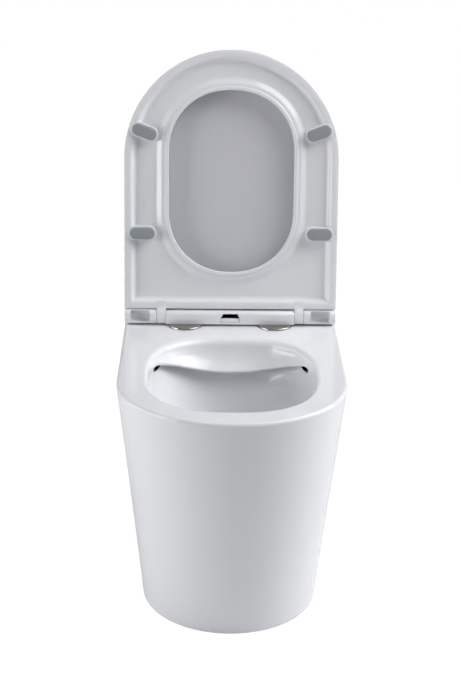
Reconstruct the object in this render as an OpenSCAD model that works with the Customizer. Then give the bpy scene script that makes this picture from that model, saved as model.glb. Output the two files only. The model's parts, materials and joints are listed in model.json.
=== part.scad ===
// Back to wall toilet: a skirted ceramic pan with a flush hood over an open-rimmed bowl,
// and a D-shaped seat and cover on one quick-release, soft-closing hinge bar.
// Millimetres. The origin is on the floor, at the centre of the pan's footprint.
// +Z is up, +Y points at the wall and +X is to the right of someone facing the pan.

/* [Pan] */
// Width of the pan across its rim
pan_w = 365; // [355:1:385]
// Length of the pan from its front to the wall
pan_l = 560; // [545:1:620]
// Height of the rim above the floor
pan_h = 400; // [390:1:460]
// Width of the foot on the floor
foot_w = 288; // [270:1:310]
// How far the front of the foot stands back from the front of the rim
foot_setback = 87; // [60:1:105]
// Length of the rounded front of the foot
foot_nose = 154; // [135:1:170]
// Thickness of the ceramic walls
wall_t = 11; // [9:0.5:13]
// Thickness of the deck
deck_t = 18; // [15:0.5:20]
// Radius of the rim's outer edge
rim_edge_r = 6; // [4:0.5:8]
// Width of the flanges beside the open back
back_flange = 22; // [16:1:30]
// Height of the wall that is left over the open back, below the deck
back_lintel = 10; // [8:1:12]

/* [Bowl] */
// Width of the bowl's opening
bowl_w = 269; // [255:1:275]
// Width of the rim in front of the bowl
rim_front = 53; // [48:1:60]
// Depth of the deck behind the bowl's opening
deck_l = 176; // [172:1:190]
// How square the opening's ends are, 2 being an ellipse
bowl_squareness = 2.55; // [2.2:0.05:3]
// Radius of the opening's upper edge
bowl_edge_r = 7; // [5:0.5:9]
// How far the flush hood reaches forward of the opening's rear edge
hood_reach = 23; // [16:1:28]
// How far the middle of the hood's lip lies below the deck
hood_drop = 55; // [48:1:62]
// How far the ends of the hood's lip lie below the deck
hood_end_drop = 20; // [17:1:26]
// Thickness of the hood at its lip
hood_lip_t = 10; // [8:0.5:12]
// How far the flush chamber reaches back past the opening's rear edge
chamber_back = 14; // [10:1:16]
// Diameter of the flush jets at the ends of the hood
jet_d = 9; // [7:0.5:11]
// Diameter of the sump
sump_d = 100; // [90:1:108]
// Height of the sump's floor above the ground
sump_floor = 96; // [80:1:105]
// Height at which the bowl meets the sump
sump_top = 190; // [182:1:215]
// Place of the sump's centre, measured back from the centre of the bowl
sump_back = 51; // [40:1:60]

/* [Trap, outlet and inlet] */
// Diameter of the trapway
trap_d = 66; // [60:1:70]
// Depth of the water seal over the trap's dip
water_seal = 50; // [50:1:56]
// Outside diameter of the waste spigot
outlet_d = 102; // [98:1:106]
// Bore of the waste spigot
outlet_bore = 84; // [80:1:88]
// Length of the waste spigot
spigot_l = 43; // [40:1:46]
// Height of the waste spigot's centre
outlet_z = 180; // [176:1:186]
// How far the waste spigot stops short of the wall
outlet_inset = 55; // [40:1:65]
// Bore of the flush inlet
inlet_bore = 55; // [50:1:56]
// Height of the flush inlet's centre
inlet_z = 338; // [334:1:342]
// How far the flush inlet stops short of the wall
inlet_inset = 62; // [50:1:75]

/* [Floor fixing] */
// Height of the side fixing holes
side_hole_z = 62; // [55:1:75]
// How far the side fixing holes lie from the wall
side_hole_inset = 90; // [75:1:110]
// Diameter of the side fixing holes
side_hole_d = 9; // [8:0.5:10]
// Thickness of the floor brackets
bracket_t = 5; // [4:0.5:6]
// Width of the floor brackets
bracket_w = 34; // [30:1:40]
// Reach of the floor brackets along the floor
bracket_foot = 40; // [36:1:46]
// Diameter of the brackets' floor holes
floor_hole_d = 9; // [8:0.5:10]
// Diameter of the caps over the side screws
side_cap_d = 16; // [14:0.5:20]

/* [Hinge] */
// Distance of the hinge axis from the wall
hinge_inset = 104; // [102:1:112]
// Height of the hinge axis above the deck
hinge_h = 14; // [14:0.5:16]
// Angle that the raised seat and cover lean back past the vertical
lean = 8; // [5:0.5:9]
// Distance between the two fixing holes of the seat
fixing_pitch = 155; // [148:1:160]
// Diameter of the fixing holes
fixing_hole_d = 15; // [13:0.5:16]
// How far the fixing holes lie in front of the hinge axis
fixing_forward = 5.6; // [4:0.2:7]
// How far the posts stand behind the hinge axis
post_back = 12.3; // [12:0.1:12.6]
// Diameter of the posts
post_d = 9; // [8:0.2:9.4]
// Diameter of the groove round each post
groove_d = 5.6; // [5:0.1:6]
// Diameter of the hinge plates
plate_d = 52; // [48:1:54]
// Thickness of the hinge plates
plate_t = 2.7; // [2.3:0.1:2.8]
// Outside diameter of the chrome caps
cap_d = 58; // [56:0.5:64]
// Thickness of the chrome caps
cap_t = 0.8; // [0.6:0.1:1]
// Length of the hinge bar
bar_w = 222; // [218:1:226]
// Distance from the hinge axis to the front and to the top of the bar
bar_front = 12.5; // [12:0.1:12.8]
// Distance from the hinge axis to the back of the bar
bar_back = 19; // [18.8:0.1:20]
// Distance from the hinge axis to the underside of the bar
bar_below = 10; // [9.9:0.1:10]
// Radius about the axis that the rounded edges of the bar keep within
bar_r = 14.4; // [13.6:0.1:14.5]
// Wall of the hinge bar
bar_wall = 2.2; // [1.8:0.1:2.4]
// Width of the seat's hinge lugs
lug_w = 15.3; // [14:0.1:16]
// Radius of the lugs and ears about the hinge axis
knuckle_r = 12.5; // [12:0.1:12.8]
// Diameter of the dampers
damper_d = 12.6; // [11.6:0.1:12.6]
// Length of the dampers
damper_l = 60; // [50:1:64]
// Diameter of the damper shafts
shaft_d = 8; // [7.4:0.1:8.2]
// Distance across the flats of the damper shafts
shaft_flat = 6; // [5.4:0.1:6.4]
// Wall of the bushes
bush_wall = 1.5; // [1.2:0.1:1.6]

/* [Release button] */
// Width of the button's opening at its foot
button_w = 34; // [32:0.5:36]
// Height of the button's opening
button_opening_h = 15.5; // [14:0.5:16]
// Height of the button
button_h = 7.6; // [7:0.2:8]
// Travel of the button
button_travel = 3; // [2.8:0.1:3.2]
// Thickness of the latch plates
latch_t = 2; // [1.8:0.1:2.2]
// Width of the latch plates
latch_w = 9.2; // [8.8:0.1:9.3]
// Diameter of the button's cam pins
cam_pin_d = 3; // [2.6:0.1:3.2]
// Outside diameter of the button's spring
spring_d = 5; // [4.4:0.1:5.2]
// Wire of the button's spring
spring_wire = 0.8; // [0.6:0.05:0.9]
// Coils of the button's spring
spring_coils = 6; // [5:1:7]

/* [Seat] */
// How far the seat and cover stand out past the rim
seat_overhang = 0.5; // [0:0.1:1.5]
// Width of the hole in the seat
hole_w = 214; // [204:1:222]
// Width of the seat in front of its hole
hole_rim = 66.5; // [60:0.5:75]
// Distance from the hinge axis to the hole
hole_back = 79; // [74:1:86]
// How square the ends of the hole are, 2 being round
hole_squareness = 2.3; // [2:0.05:2.6]
// Height of the seat's top above the hinge axis
seat_top = 9.2; // [8.6:0.1:9.4]
// Distance from the hinge axis down to the seat's lower edge
seat_below = 8; // [7.4:0.1:8.6]
// Width of the flange round the underside of the seat
seat_flange = 14; // [12:0.5:16]
// Depth of the channel under the seat
seat_channel = 9.5; // [8.5:0.1:10]
// Distance from the hinge axis to the rear edge of the seat
seat_rear = 15; // [14.9:0.1:16]

/* [Cover] */
// Height of the cover's rim above the hinge axis
cover_rim = 11.2; // [11:0.1:12]
// Height of the cover's top above the hinge axis
cover_top = 26; // [24:0.5:27]
// Rise of the cover's crown over its edge
cover_crown = 2; // [1:0.5:3]
// Thickness of the cover
cover_t = 6; // [5:0.5:7]
// Width of the cover's rim
cover_rim_w = 11; // [9:0.5:13]
// Distance from the hinge axis back to the rear edge of the cover's ears
ear_back = 10; // [9:0.1:10.1]
// Width of the open pockets in the cover's ears
pocket_w = 33; // [28:0.5:35]
// Thickness of the web between each ear's pocket and the lug beside it
ear_web = 12; // [10:0.5:13]

/* [Buffers] */
// Length of the seat's buffers
buffer_l = 43; // [38:1:44]
// Width of the seat's buffers
buffer_w = 20; // [16:0.5:20]
// Wall of the buffers' sockets
socket_wall = 2; // [1.6:0.1:2.4]
// Distance of the rear buffers from the hinge axis
rear_buffer_at = 146; // [140:1:160]
// Direction of the front buffers from the middle of the nose, 0 being straight ahead
front_buffer_way = 72; // [66:1:78]
// Turn of the front buffers
front_buffer_turn = 20; // [15:1:25]
// Diameter of the cover's buffers
cover_buffer_d = 14; // [12:0.5:16]

/* [Clearances] */
// Radial clearance of a shaft that turns in its hole
run_fit = 0.05; // [0.03:0.01:0.09]
// Clearance of a piece that is held in its seat
seat_fit = 0.05; // [0.02:0.01:0.1]
// Side gap between pieces that turn past each other
side_gap = 0.4; // [0.3:0.05:0.6]
// Gap that is left where a piece comes to rest on another
rest_gap = 0.25; // [0.15:0.05:0.3]

/* [Hidden] */

// Colours
GLAZE = [0.93, 0.94, 0.95];
SEAT_WHITE = [0.9, 0.91, 0.93];
INNER_WHITE = [0.82, 0.83, 0.85];
RUBBER_GREY = [0.5, 0.52, 0.55];
RUBBER_BLACK = [0.15, 0.15, 0.16];
CHROME = [0.72, 0.7, 0.68];
STEEL = [0.6, 0.61, 0.63];

// Places that follow from the sizes
front_y = -pan_l / 2;
wall_y = pan_l / 2;
hinge_y = wall_y - hinge_inset;
axis_z = pan_h + hinge_h;
raise = 90 + lean;
rim_a = pan_w / 2;
foot_a = foot_w / 2;
rim_nose_y = front_y + rim_a;
foot_nose_y = front_y + foot_setback + foot_nose;
bowl_l = pan_l - rim_front - deck_l;
bowl_y = front_y + rim_front + bowl_l / 2;
sump_y = bowl_y + sump_back;
fixing_y = hinge_y - fixing_forward;
post_y = hinge_y + post_back;
seat_a = rim_a + seat_overhang;
seat_tip = hinge_y - front_y + seat_overhang;
hole_front = seat_tip - hole_rim;
nose_at = seat_tip - seat_a;
lug_x = bar_w / 2 + side_gap;
ear_x = lug_x + lug_w + side_gap + 0.2;
pocket_x = ear_x + ear_web;
// How far a cutting form runs past the face it cuts
overcut = 1;

// Spokes of the lofted outlines: along the rounded front, each side and half of the back
front_n = 14;
side_n = 6;
back_n = 4;
half_n = front_n + side_n + back_n;
spoke_n = 2 * half_n;

// ---------------------------------------------------------------- outlines and lofts

// A coordinate on a superellipse: squareness 2 gives a circle's sine or cosine
function squared(c, squareness) = sign(c) * pow(abs(c), 2 / squareness);

// Mirrors the right half of an outline, front to back, into a closed ring at height z
function whole(half, z) = [
    for (i = [0 : half_n]) [half[i][0], half[i][1], is_list(z) ? z[i] : z],
    for (i = [half_n - 1 : -1 : 1]) [-half[i][0], half[i][1], is_list(z) ? z[i] : z]
];

// Half of a D: a rounded nose of radii a and b about y, straight sides and a flat back
function d_half(a, b, y, back) = [
    for (i = [0 : half_n])
        i <= front_n ? [a * sin(90 * i / front_n), y - b * cos(90 * i / front_n)]
        : i <= front_n + side_n ? [a, y + (back - y) * (i - front_n) / side_n]
        : [a * (half_n - i) / back_n, back]
];

// Angle of a spoke on a closed oval, 0 at the front and 180 at the back
function spoke_angle(i) =
    i <= front_n ? 90 * i / front_n
    : i <= front_n + side_n ? 90 + 48 * (i - front_n) / side_n
    : 138 + 42 * (i - front_n - side_n) / back_n;

// Half of an oval of half width a, from y = front to y = back, about its middle
function oval_half(a, front, back, squareness) = [
    for (i = [0 : half_n])
        let (t = spoke_angle(i), mid = (front + back) / 2, b = (back - front) / 2)
        [a * squared(sin(t), squareness), mid - b * squared(cos(t), squareness)]
];

// Half of a slot with rounded ends of radius r about y = front_mid and y = back_mid
function slot_half(r, front_mid, back_mid, squareness) = [
    for (i = [0 : half_n])
        i <= front_n
        ? let (t = 90 * i / front_n)
            [r * squared(sin(t), squareness), front_mid - r * squared(cos(t), squareness)]
        : let (t = 90 + 90 * (i - front_n - 1) / (side_n + back_n - 1))
            [r * squared(sin(t), squareness), back_mid - r * squared(cos(t), squareness)]
];

// Triangles between ring k and the ring after it, which is ring 0 again after the last
function band(k, next) = [
    for (i = [0 : spoke_n - 1])
        let (j = (i + 1) % spoke_n, a = k * spoke_n, b = next * spoke_n)
        each [[a + i, b + i, b + j], [a + i, b + j, a + j]]
];

// A skin over a list of rings, closed at both ends to a middle point
module capped_loft(rings, first, last) {
    n = len(rings);
    polyhedron(
        points = concat([for (r = rings) each r], [first, last]),
        faces = concat(
            [for (k = [0 : n - 2]) each band(k, k + 1)],
            [for (i = [0 : spoke_n - 1]) [n * spoke_n, i, (i + 1) % spoke_n]],
            [for (i = [0 : spoke_n - 1])
                [n * spoke_n + 1, (n - 1) * spoke_n + (i + 1) % spoke_n, (n - 1) * spoke_n + i]]
        )
    );
}

// A skin over a list of rings whose last ring joins the first, round a hole
module ring_loft(rings) {
    n = len(rings);
    polyhedron(
        points = [for (r = rings) each r],
        faces = [for (k = [0 : n - 1]) each band(k, (k + 1) % n)]
    );
}

// ---------------------------------------------------------------- placing and shared forms

// Puts a piece that is drawn about the hinge axis in its place
module at_hinge() translate([0, hinge_y, axis_z]) children();

// Puts a piece that is drawn closed about the hinge axis in its raised rest position
module raised() at_hinge() rotate([-raise, 0, 0]) children();

// Draws a piece on the right, and its mirror image on the left
module both_sides() {
    children();
    mirror([1, 0, 0]) children();
}

// Draws a piece on one side: 1 is the right, -1 the left
module on_side(side) {
    if (side > 0) children();
    else mirror([1, 0, 0]) children();
}

// Extrudes a profile that is drawn in Y and Z along X, from x0 to x1
module along_x(x0, x1) translate([x0, 0, 0]) rotate([90, 0, 90]) linear_extrude(x1 - x0) children();

// A cylinder along X, from x0 to x1
module rod_x(x0, x1, d) translate([x0, 0, 0]) rotate([0, 90, 0]) cylinder(d = d, h = x1 - x0, $fn = 48);

// A cylinder along Y, from y0 to y1
module rod_y(y0, y1, d, fn = 64) translate([0, y0, 0]) rotate([-90, 0, 0]) cylinder(d = d, h = y1 - y0, $fn = fn);

// A rod along X with two flats across z
module flatted_rod(x0, x1, d, flat)
    intersection() {
        rod_x(x0, x1, d);
        translate([x0 - 1, -d, -flat / 2]) cube([x1 - x0 + 2, 2 * d, flat]);
    }

// An oblong with round ends, l long in X and w wide in Y, from z0 to z1
module oblong(l, w, z0, z1) translate([0, 0, z0]) {
    translate([-(l - w) / 2, -w / 2, 0]) cube([l - w, w, z1 - z0]);
    for (side = [-1, 1]) translate([side * (l - w) / 2, 0, 0]) cylinder(d = w, h = z1 - z0, $fn = 32);
}

// A bent pipe of diameter d through points [y, z], swelling a little at its bends
swell = 1.03;
module pipe(points, d)
    for (k = [0 : len(points) - 2]) {
        from = points[k];
        step = points[k + 1] - from;
        translate([0, from[0], from[1]]) rotate([-atan2(step[0], step[1]), 0, 0]) {
            cylinder(d = d, h = norm(step), $fn = 64);
            if (k > 0) sphere(d = d * swell, $fn = 64);
        }
    }

// ---------------------------------------------------------------- pan

// Height at which the pan reaches its full size and the rim's rounded edge starts
rim_edge_z = pan_h - rim_edge_r * 1.2;
// Share of the way from the foot (0) to the rim (1), for a height z
function rise(z) = pow(min(z / rim_edge_z, 1), 1.04);
function blend(a, b, share) = a + (b - a) * share;

// The pan's D at height z, drawn in by inset on its nose and sides and by back_inset at the wall
function pan_ring(z, inset, back_inset = 0) =
    let (s = rise(z), a = blend(foot_a, rim_a, s) - inset, b = blend(foot_nose, rim_a, s) - inset)
    whole(d_half(a, b, blend(foot_nose_y, rim_nose_y, s), wall_y - back_inset), z);

// 1 at the back of the bowl, falling to 0 at the turn from the nose where the hood ends, at the jets
hood_end_turn = 112;
function hood_share(t) =
    let (s = max(0, min(1, (t - hood_end_turn) / (180 - hood_end_turn)))) s * s * (3 - 2 * s);
hood_shares = [for (i = [0 : half_n]) hood_share(spoke_angle(i))];

// The bowl's opening, grown by a margin and by more at the hood, with the height given per spoke
function opening_ring(grow, hood_grow, drop, hood_drop_more) =
    let (
        mid = bowl_y,
        half = oval_half(bowl_w / 2 + grow, mid - bowl_l / 2 - grow, mid + bowl_l / 2 + grow,
            bowl_squareness),
        moved = [for (i = [0 : half_n])
            half[i] + hood_grow * hood_shares[i] * [sin(spoke_angle(i)), -cos(spoke_angle(i))]]
    )
    whole(moved, [for (i = [0 : half_n]) pan_h - drop - hood_drop_more * hood_shares[i]]);

// The bowl's wall at height z, from the round sump (share 0) up to its shoulder (share 1)
bowl_shoulder = pan_h - 46;
function bowl_share(z) = pow((z - sump_top) / (bowl_shoulder - sump_top), 0.62);
function bowl_ring(z, grow) =
    let (s = bowl_share(max(z, sump_top)), r = sump_d / 2 + 1)
    whole(oval_half(
        blend(r, bowl_w / 2, s) + grow,
        blend(sump_y - r, bowl_y - bowl_l / 2, s) - grow,
        blend(sump_y + r, bowl_y + bowl_l / 2, s) + grow,
        blend(2, bowl_squareness, s)), z);
bowl_levels = [0.86, 0.68, 0.48, 0.3, 0.15, 0.05, 0];
function bowl_level(u) = blend(sump_top, bowl_shoulder, u);

// How far the roof of the flush chamber lies below the deck
chamber_drop = 32;
// Rings of the ceramic shell in order: under the bowl, under the deck, down inside the skirt,
// under the foot, up the outside, over the rim and deck, under the hood and down the bowl
shell_rings = concat(
    [for (k = [len(bowl_levels) - 1 : -1 : 0])
        bowl_ring(bowl_level(bowl_levels[k]), wall_t - (bowl_levels[k] == 0 ? 2 : 0))],
    [
        opening_ring(wall_t, chamber_back, 62, 24),
        opening_ring(wall_t, chamber_back, deck_t, 0),
        pan_ring(pan_h - deck_t, wall_t, wall_t),
        pan_ring(pan_h / 2, wall_t, wall_t),
        pan_ring(0, wall_t + 3, wall_t + 3),
        pan_ring(0, 3),
        pan_ring(4, 0),
        pan_ring(pan_h * 0.25, 0),
        pan_ring(pan_h * 0.5, 0),
        pan_ring(pan_h * 0.75, 0),
        pan_ring(rim_edge_z, 0),
        pan_ring(pan_h - rim_edge_r * 0.5, rim_edge_r * 0.18),
        pan_ring(pan_h - rim_edge_r * 0.14, rim_edge_r * 0.5),
        pan_ring(pan_h, rim_edge_r),
        opening_ring(bowl_edge_r, 0, 0, 0),
        opening_ring(bowl_edge_r * 0.3, 0, bowl_edge_r * 0.3, 0),
        opening_ring(0, 0, bowl_edge_r, 0),
        opening_ring(-1, 1 - hood_reach, hood_end_drop, hood_drop - hood_end_drop - 4),
        opening_ring(-1.5, 3 - hood_reach, hood_end_drop + 2, hood_drop - hood_end_drop - 2),
        opening_ring(-1, 1 - hood_reach + hood_lip_t, hood_end_drop + 4, hood_drop - hood_end_drop - 5),
        opening_ring(0, -hood_reach + hood_lip_t + 2, hood_end_drop + 6,
            chamber_drop - hood_end_drop - 6),
        opening_ring(0, chamber_back, hood_end_drop + 8, chamber_drop - hood_end_drop - 8),
        opening_ring(0, chamber_back * 0.6, 46, 22)
    ],
    [for (u = bowl_levels) bowl_ring(bowl_level(u), 0)]
);

// The trap's centre line as [y, z]: out of the sump, over the weir and down to the spigot
dip_z = sump_floor + trap_d / 2 + 4;
weir_z = dip_z + trap_d + water_seal;
trap_path = [
    [sump_y, dip_z], [sump_y + sump_d / 2 + trap_d * 0.5, dip_z],
    [sump_y + sump_d / 2 + trap_d * 1.33, weir_z], [sump_y + sump_d / 2 + trap_d * 1.72, outlet_z],
    [wall_y - outlet_inset - spigot_l * 0.6, outlet_z]
];
spigot_start = wall_y - outlet_inset - spigot_l;
inlet_end = wall_y - inlet_inset;
chamber_wall = bowl_y + bowl_l / 2 + chamber_back;

// Direction of the jets from the middle of the bowl, and the distance to their blind ends
jet_turn = 38;
jet_end = bowl_w / 2 + 27;

module pan() {
    color(GLAZE)
        difference() {
            union() {
                capped_loft(shell_rings,
                    [0, sump_y, sump_top - wall_t], [0, sump_y, sump_top]);
                // sump, trap and spigot
                translate([0, sump_y, sump_floor - wall_t])
                    cylinder(d = sump_d + 2 * wall_t, h = sump_top - 6 - sump_floor + wall_t, $fn = 64);
                pipe(trap_path, trap_d + 2 * wall_t);
                translate([0, 0, outlet_z]) rod_y(spigot_start, wall_y - outlet_inset, outlet_d);
                // flush inlet
                translate([0, 0, inlet_z])
                    rod_y(chamber_wall + wall_t / 2, inlet_end, inlet_bore + 2 * wall_t);
            }
            translate([0, sump_y, sump_floor])
                cylinder(d = sump_d, h = sump_top - sump_floor + 0.5, $fn = 64);
            pipe(trap_path, trap_d);
            translate([0, 0, outlet_z])
                rod_y(spigot_start + wall_t + 2, wall_y - outlet_inset + overcut, outlet_bore);
            translate([0, 0, inlet_z])
                rod_y(chamber_wall - chamber_back + 4, inlet_end + overcut, inlet_bore);
            both_sides() {
                // seat fixing holes
                translate([fixing_pitch / 2, fixing_y, pan_h - deck_t - overcut])
                    cylinder(d = fixing_hole_d, h = deck_t + 2 * overcut, $fn = 48);
                // side fixing holes
                translate([0, wall_y - side_hole_inset, side_hole_z])
                    rod_x(foot_a - 2 * wall_t, rim_a, side_hole_d);
                // flush jets, blind pockets in the wall under the ends of the hood
                translate([0, bowl_y, pan_h - hood_end_drop - 9]) rotate([0, 0, jet_turn])
                    rod_x(bowl_w / 2 + 8, jet_end, jet_d);
            }
            // open back, with a flange round it
            translate([0, wall_y + overcut, 0]) rotate([90, 0, 0])
                linear_extrude(wall_t + 6) polygon([
                    [-foot_a + back_flange, -overcut], [foot_a - back_flange, -overcut],
                    [rim_a - back_flange, pan_h - deck_t - back_lintel],
                    [-rim_a + back_flange, pan_h - deck_t - back_lintel]
                ]);
        }
}

// ---------------------------------------------------------------- seat fixings

// Heights above the hinge axis of the posts' tops and of their grooves' edges
post_top = 5;
groove_low = 0.9;
groove_high = groove_low + latch_t + 0.6;
// Height of the caps' tops above the deck, just under the bar
cap_top = hinge_h - bar_below - 0.2;
gasket_t = 0.3;
plate_top_z = pan_h + gasket_t + plate_t;
bolt_d = 6;
bolt_head_d = 11;
bolt_head_t = 1.7;
bolt_l = 62;
bolt_bore = bolt_d + 2 * run_fit;
washer_t = 9;
nut_hub_d = 15;
nut_h = 9;
nut_top_z = pan_h - deck_t - washer_t / 2 - rest_gap;

// A round plate with the post that the hinge bar drops onto, and a countersunk bolt hole
module hinge_plate(side)
    color(STEEL)
        on_side(side)
            translate([fixing_pitch / 2, 0, 0]) {
                difference() {
                    translate([0, fixing_y, pan_h + gasket_t]) cylinder(d = plate_d, h = plate_t, $fn = 64);
                    translate([0, fixing_y, pan_h]) cylinder(d = bolt_bore, h = 10, $fn = 32);
                    translate([0, fixing_y, plate_top_z - bolt_head_t - 0.1])
                        cylinder(d1 = bolt_d + 0.2, d2 = bolt_head_d + 0.4, h = bolt_head_t + 0.2, $fn = 32);
                }
                translate([0, post_y, plate_top_z - plate_t + 0.5]) {
                    post_h = axis_z + post_top - plate_top_z + plate_t - 0.5;
                    groove_at = post_h - post_top + groove_low;
                    cylinder(d = post_d, h = groove_at, $fn = 32);
                    cylinder(d = groove_d, h = post_h - 1, $fn = 32);
                    translate([0, 0, groove_at + groove_high - groove_low])
                        cylinder(d = post_d, h = post_top - groove_high - 1, $fn = 32);
                    translate([0, 0, post_h - 1]) cylinder(d1 = post_d, d2 = post_d - 2, h = 1, $fn = 32);
                }
            }

// A thin pressed cover that hides the plate and its bolt
module hinge_cap(side)
    color(CHROME)
        on_side(side)
            translate([fixing_pitch / 2, fixing_y, pan_h])
                difference() {
                    rotate_extrude($fn = 64) polygon([
                        [0, cap_top - cap_t], [cap_d / 2 - 2.6, cap_top - cap_t],
                        [cap_d / 2 - cap_t - 0.3, cap_top - 2.2], [cap_d / 2 - cap_t, 0.1],
                        [cap_d / 2, 0.1], [cap_d / 2, cap_top - 2], [cap_d / 2 - 0.8, cap_top - 0.7],
                        [cap_d / 2 - 2.4, cap_top], [0, cap_top]
                    ]);
                    translate([0, post_y - fixing_y, -1]) cylinder(d = post_d + 0.3, h = 10, $fn = 32);
                }

module plate_gaskets()
    color(RUBBER_BLACK)
        both_sides()
            translate([fixing_pitch / 2, fixing_y, pan_h])
                difference() {
                    cylinder(d = plate_d, h = gasket_t, $fn = 64);
                    translate([0, 0, -overcut]) cylinder(d = fixing_hole_d, h = 2 * overcut, $fn = 32);
                }

module fixing_bolts()
    color(STEEL)
        both_sides()
            translate([fixing_pitch / 2, fixing_y, plate_top_z]) {
                translate([0, 0, -bolt_head_t]) cylinder(d1 = bolt_d, d2 = bolt_head_d, h = bolt_head_t, $fn = 32);
                translate([0, 0, -bolt_l]) cylinder(d = bolt_d, h = bolt_l - 1, $fn = 32);
            }

// Rubber cones that centre the bolts in the fixing holes from below
module cone_washers()
    color(RUBBER_BLACK)
        both_sides()
            translate([fixing_pitch / 2, fixing_y, pan_h - deck_t])
                difference() {
                    union() {
                        cylinder(d1 = fixing_hole_d - 0.6, d2 = fixing_hole_d - 3, h = washer_t / 2, $fn = 32);
                        translate([0, 0, -washer_t / 2])
                            cylinder(d = fixing_hole_d + 9, h = washer_t / 2, $fn = 32);
                    }
                    translate([0, 0, -washer_t]) cylinder(d = bolt_bore, h = 2 * washer_t, $fn = 32);
                }

module wing_nut(side)
    color(INNER_WHITE)
        on_side(side)
            translate([fixing_pitch / 2, fixing_y, nut_top_z - nut_h])
                difference() {
                    union() {
                        cylinder(d = nut_hub_d, h = nut_h, $fn = 32);
                        translate([0, 0, nut_h - 1.6]) cylinder(d = nut_hub_d + 5, h = 1.6, $fn = 32);
                        for (turn = [0, 180]) rotate([0, 0, turn]) translate([0, -1.5, 0])
                            rotate([90, 0, 0]) mirror([0, 0, 1]) linear_extrude(3)
                                polygon([[4, 0], [15, -3], [18, -1], [17, 5], [4, nut_h - 2]]);
                    }
                    translate([0, 0, -5]) cylinder(d = bolt_bore, h = nut_h + 10, $fn = 32);
                }

// ---------------------------------------------------------------- hinge bar and its works

// Height above the hinge axis of the bar's lower tail, over the posts
bar_tail_top = 5.6;
// Thickness of the plate that closes the bar's underside
base_t = 1.5;
boss_low_z = -bar_below + base_t + 0.2;
// Inner end of the dampers, and how far the shafts enter them
damper_x = bar_w / 2 - bar_wall - 0.4 - damper_l;
shaft_in = 14;
// Heights about the hinge axis of the latches, the spring and the button
latch_low = groove_low + 0.3;
latch_mid_y = post_back - 0.4;
spring_z = -4.6;
button_low = -7;
// The bar's cross-section about the hinge axis in Y and Z, drawn in by inset and open below
module bar_profile(inset) {
    low = -bar_below - (inset > 0 ? overcut : 0);
    intersection() {
        circle(r = bar_r - inset, $fn = 64);
        translate([-bar_front + inset, low]) square([2 * (bar_front - inset), bar_front - inset - low]);
    }
    translate([-bar_front + inset, low]) square([bar_front, -low]);
    translate([0, low]) square([bar_back - inset, bar_tail_top - inset - low]);
}
// Screw bosses as [x, y, top], each up to the roof of the bar above it
boss_places = [[bar_w / 2 - 14, post_back - 0.6, bar_tail_top - 1], [33, -4.5, bar_front - 1]];

// The button's opening: wide at its foot, with cut corners at its head
module button_outline(gap, top)
    polygon([
        [-button_w / 2 + gap + 1, button_low + gap], [button_w / 2 - gap - 1, button_low + gap],
        [button_w / 2 - gap, button_low + gap + 1.2],
        [button_w / 2 - gap - 1.2, min(top, button_low + button_opening_h * 0.55)],
        [button_w / 2 - gap - (top > 0 ? 4.4 : 1.2), top], [-button_w / 2 + gap + (top > 0 ? 4.4 : 1.2), top],
        [-button_w / 2 + gap + 1.2, min(top, button_low + button_opening_h * 0.55)],
        [-button_w / 2 + gap, button_low + gap + 1.2]
    ]);

module hinge_bar()
    color(SEAT_WHITE)
        at_hinge()
            difference() {
                union() {
                    difference() {
                        along_x(-bar_w / 2, bar_w / 2) bar_profile(0);
                        along_x(-bar_w / 2 + bar_wall, bar_w / 2 - bar_wall) bar_profile(bar_wall);
                    }
                    both_sides() {
                        // cradle ribs over the damper
                        for (at = [damper_x + 4, damper_x + damper_l / 2, damper_x + damper_l - 6])
                            along_x(at, at + 2) intersection() {
                                bar_profile(bar_wall / 2);
                                translate([-50, boss_low_z]) square([50 + 7, 50]);
                            }
                        // sockets for the posts
                        translate([fixing_pitch / 2, post_back, boss_low_z])
                            intersection() {
                                cylinder(r = post_d / 2 + 1.6, h = bar_tail_top - 0.8 - boss_low_z, $fn = 32);
                                translate([-20, -20, 0]) cube([40, 20 + bar_back - post_back - 1, 40]);
                            }
                        // screw bosses
                        for (p = boss_places)
                            translate([p[0], p[1], boss_low_z]) cylinder(d = 5.4, h = p[2] - boss_low_z, $fn = 32);
                    }
                }
                both_sides() {
                    rod_x(damper_x - 0.3, bar_w / 2 - bar_wall, damper_d + 2 * seat_fit);
                    rod_x(bar_w / 2 - bar_wall - overcut, bar_w / 2 + overcut, shaft_d + 2 * run_fit);
                    translate([fixing_pitch / 2, post_back, -bar_below - overcut])
                        cylinder(d = post_d + 2 * run_fit, h = bar_below + overcut + post_top + 0.3, $fn = 32);
                    // slot that the latch plate runs in
                    translate([0, latch_mid_y - latch_w / 2 - 0.2, latch_low - 0.2])
                        cube([fixing_pitch / 2, latch_w + 0.4, latch_t + 0.4]);
                    for (p = boss_places)
                        translate([p[0], p[1], -bar_below]) cylinder(d = 2.2, h = 9, $fn = 24);
                }
                translate([0, -bar_front - overcut, 0]) rotate([90, 0, 0]) mirror([0, 0, 1])
                    linear_extrude(bar_wall + 2 * overcut) button_outline(0, button_low + button_opening_h);
            }

module hinge_bar_base()
    color(INNER_WHITE)
        at_hinge()
            difference() {
                translate([-bar_w / 2 + bar_wall + 0.1, -bar_front + bar_wall + 0.1, -bar_below])
                    cube([bar_w - 2 * bar_wall - 0.2, bar_front + bar_back - 2 * bar_wall - 0.2, base_t]);
                both_sides() {
                    translate([fixing_pitch / 2, post_back, -bar_below - overcut])
                        cylinder(d = post_d + 0.4, h = base_t + 2 * overcut, $fn = 32);
                    for (p = boss_places)
                        translate([p[0], p[1], -bar_below - overcut])
                            cylinder(d = 2.8, h = base_t + 2 * overcut, $fn = 24);
                }
            }

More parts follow.
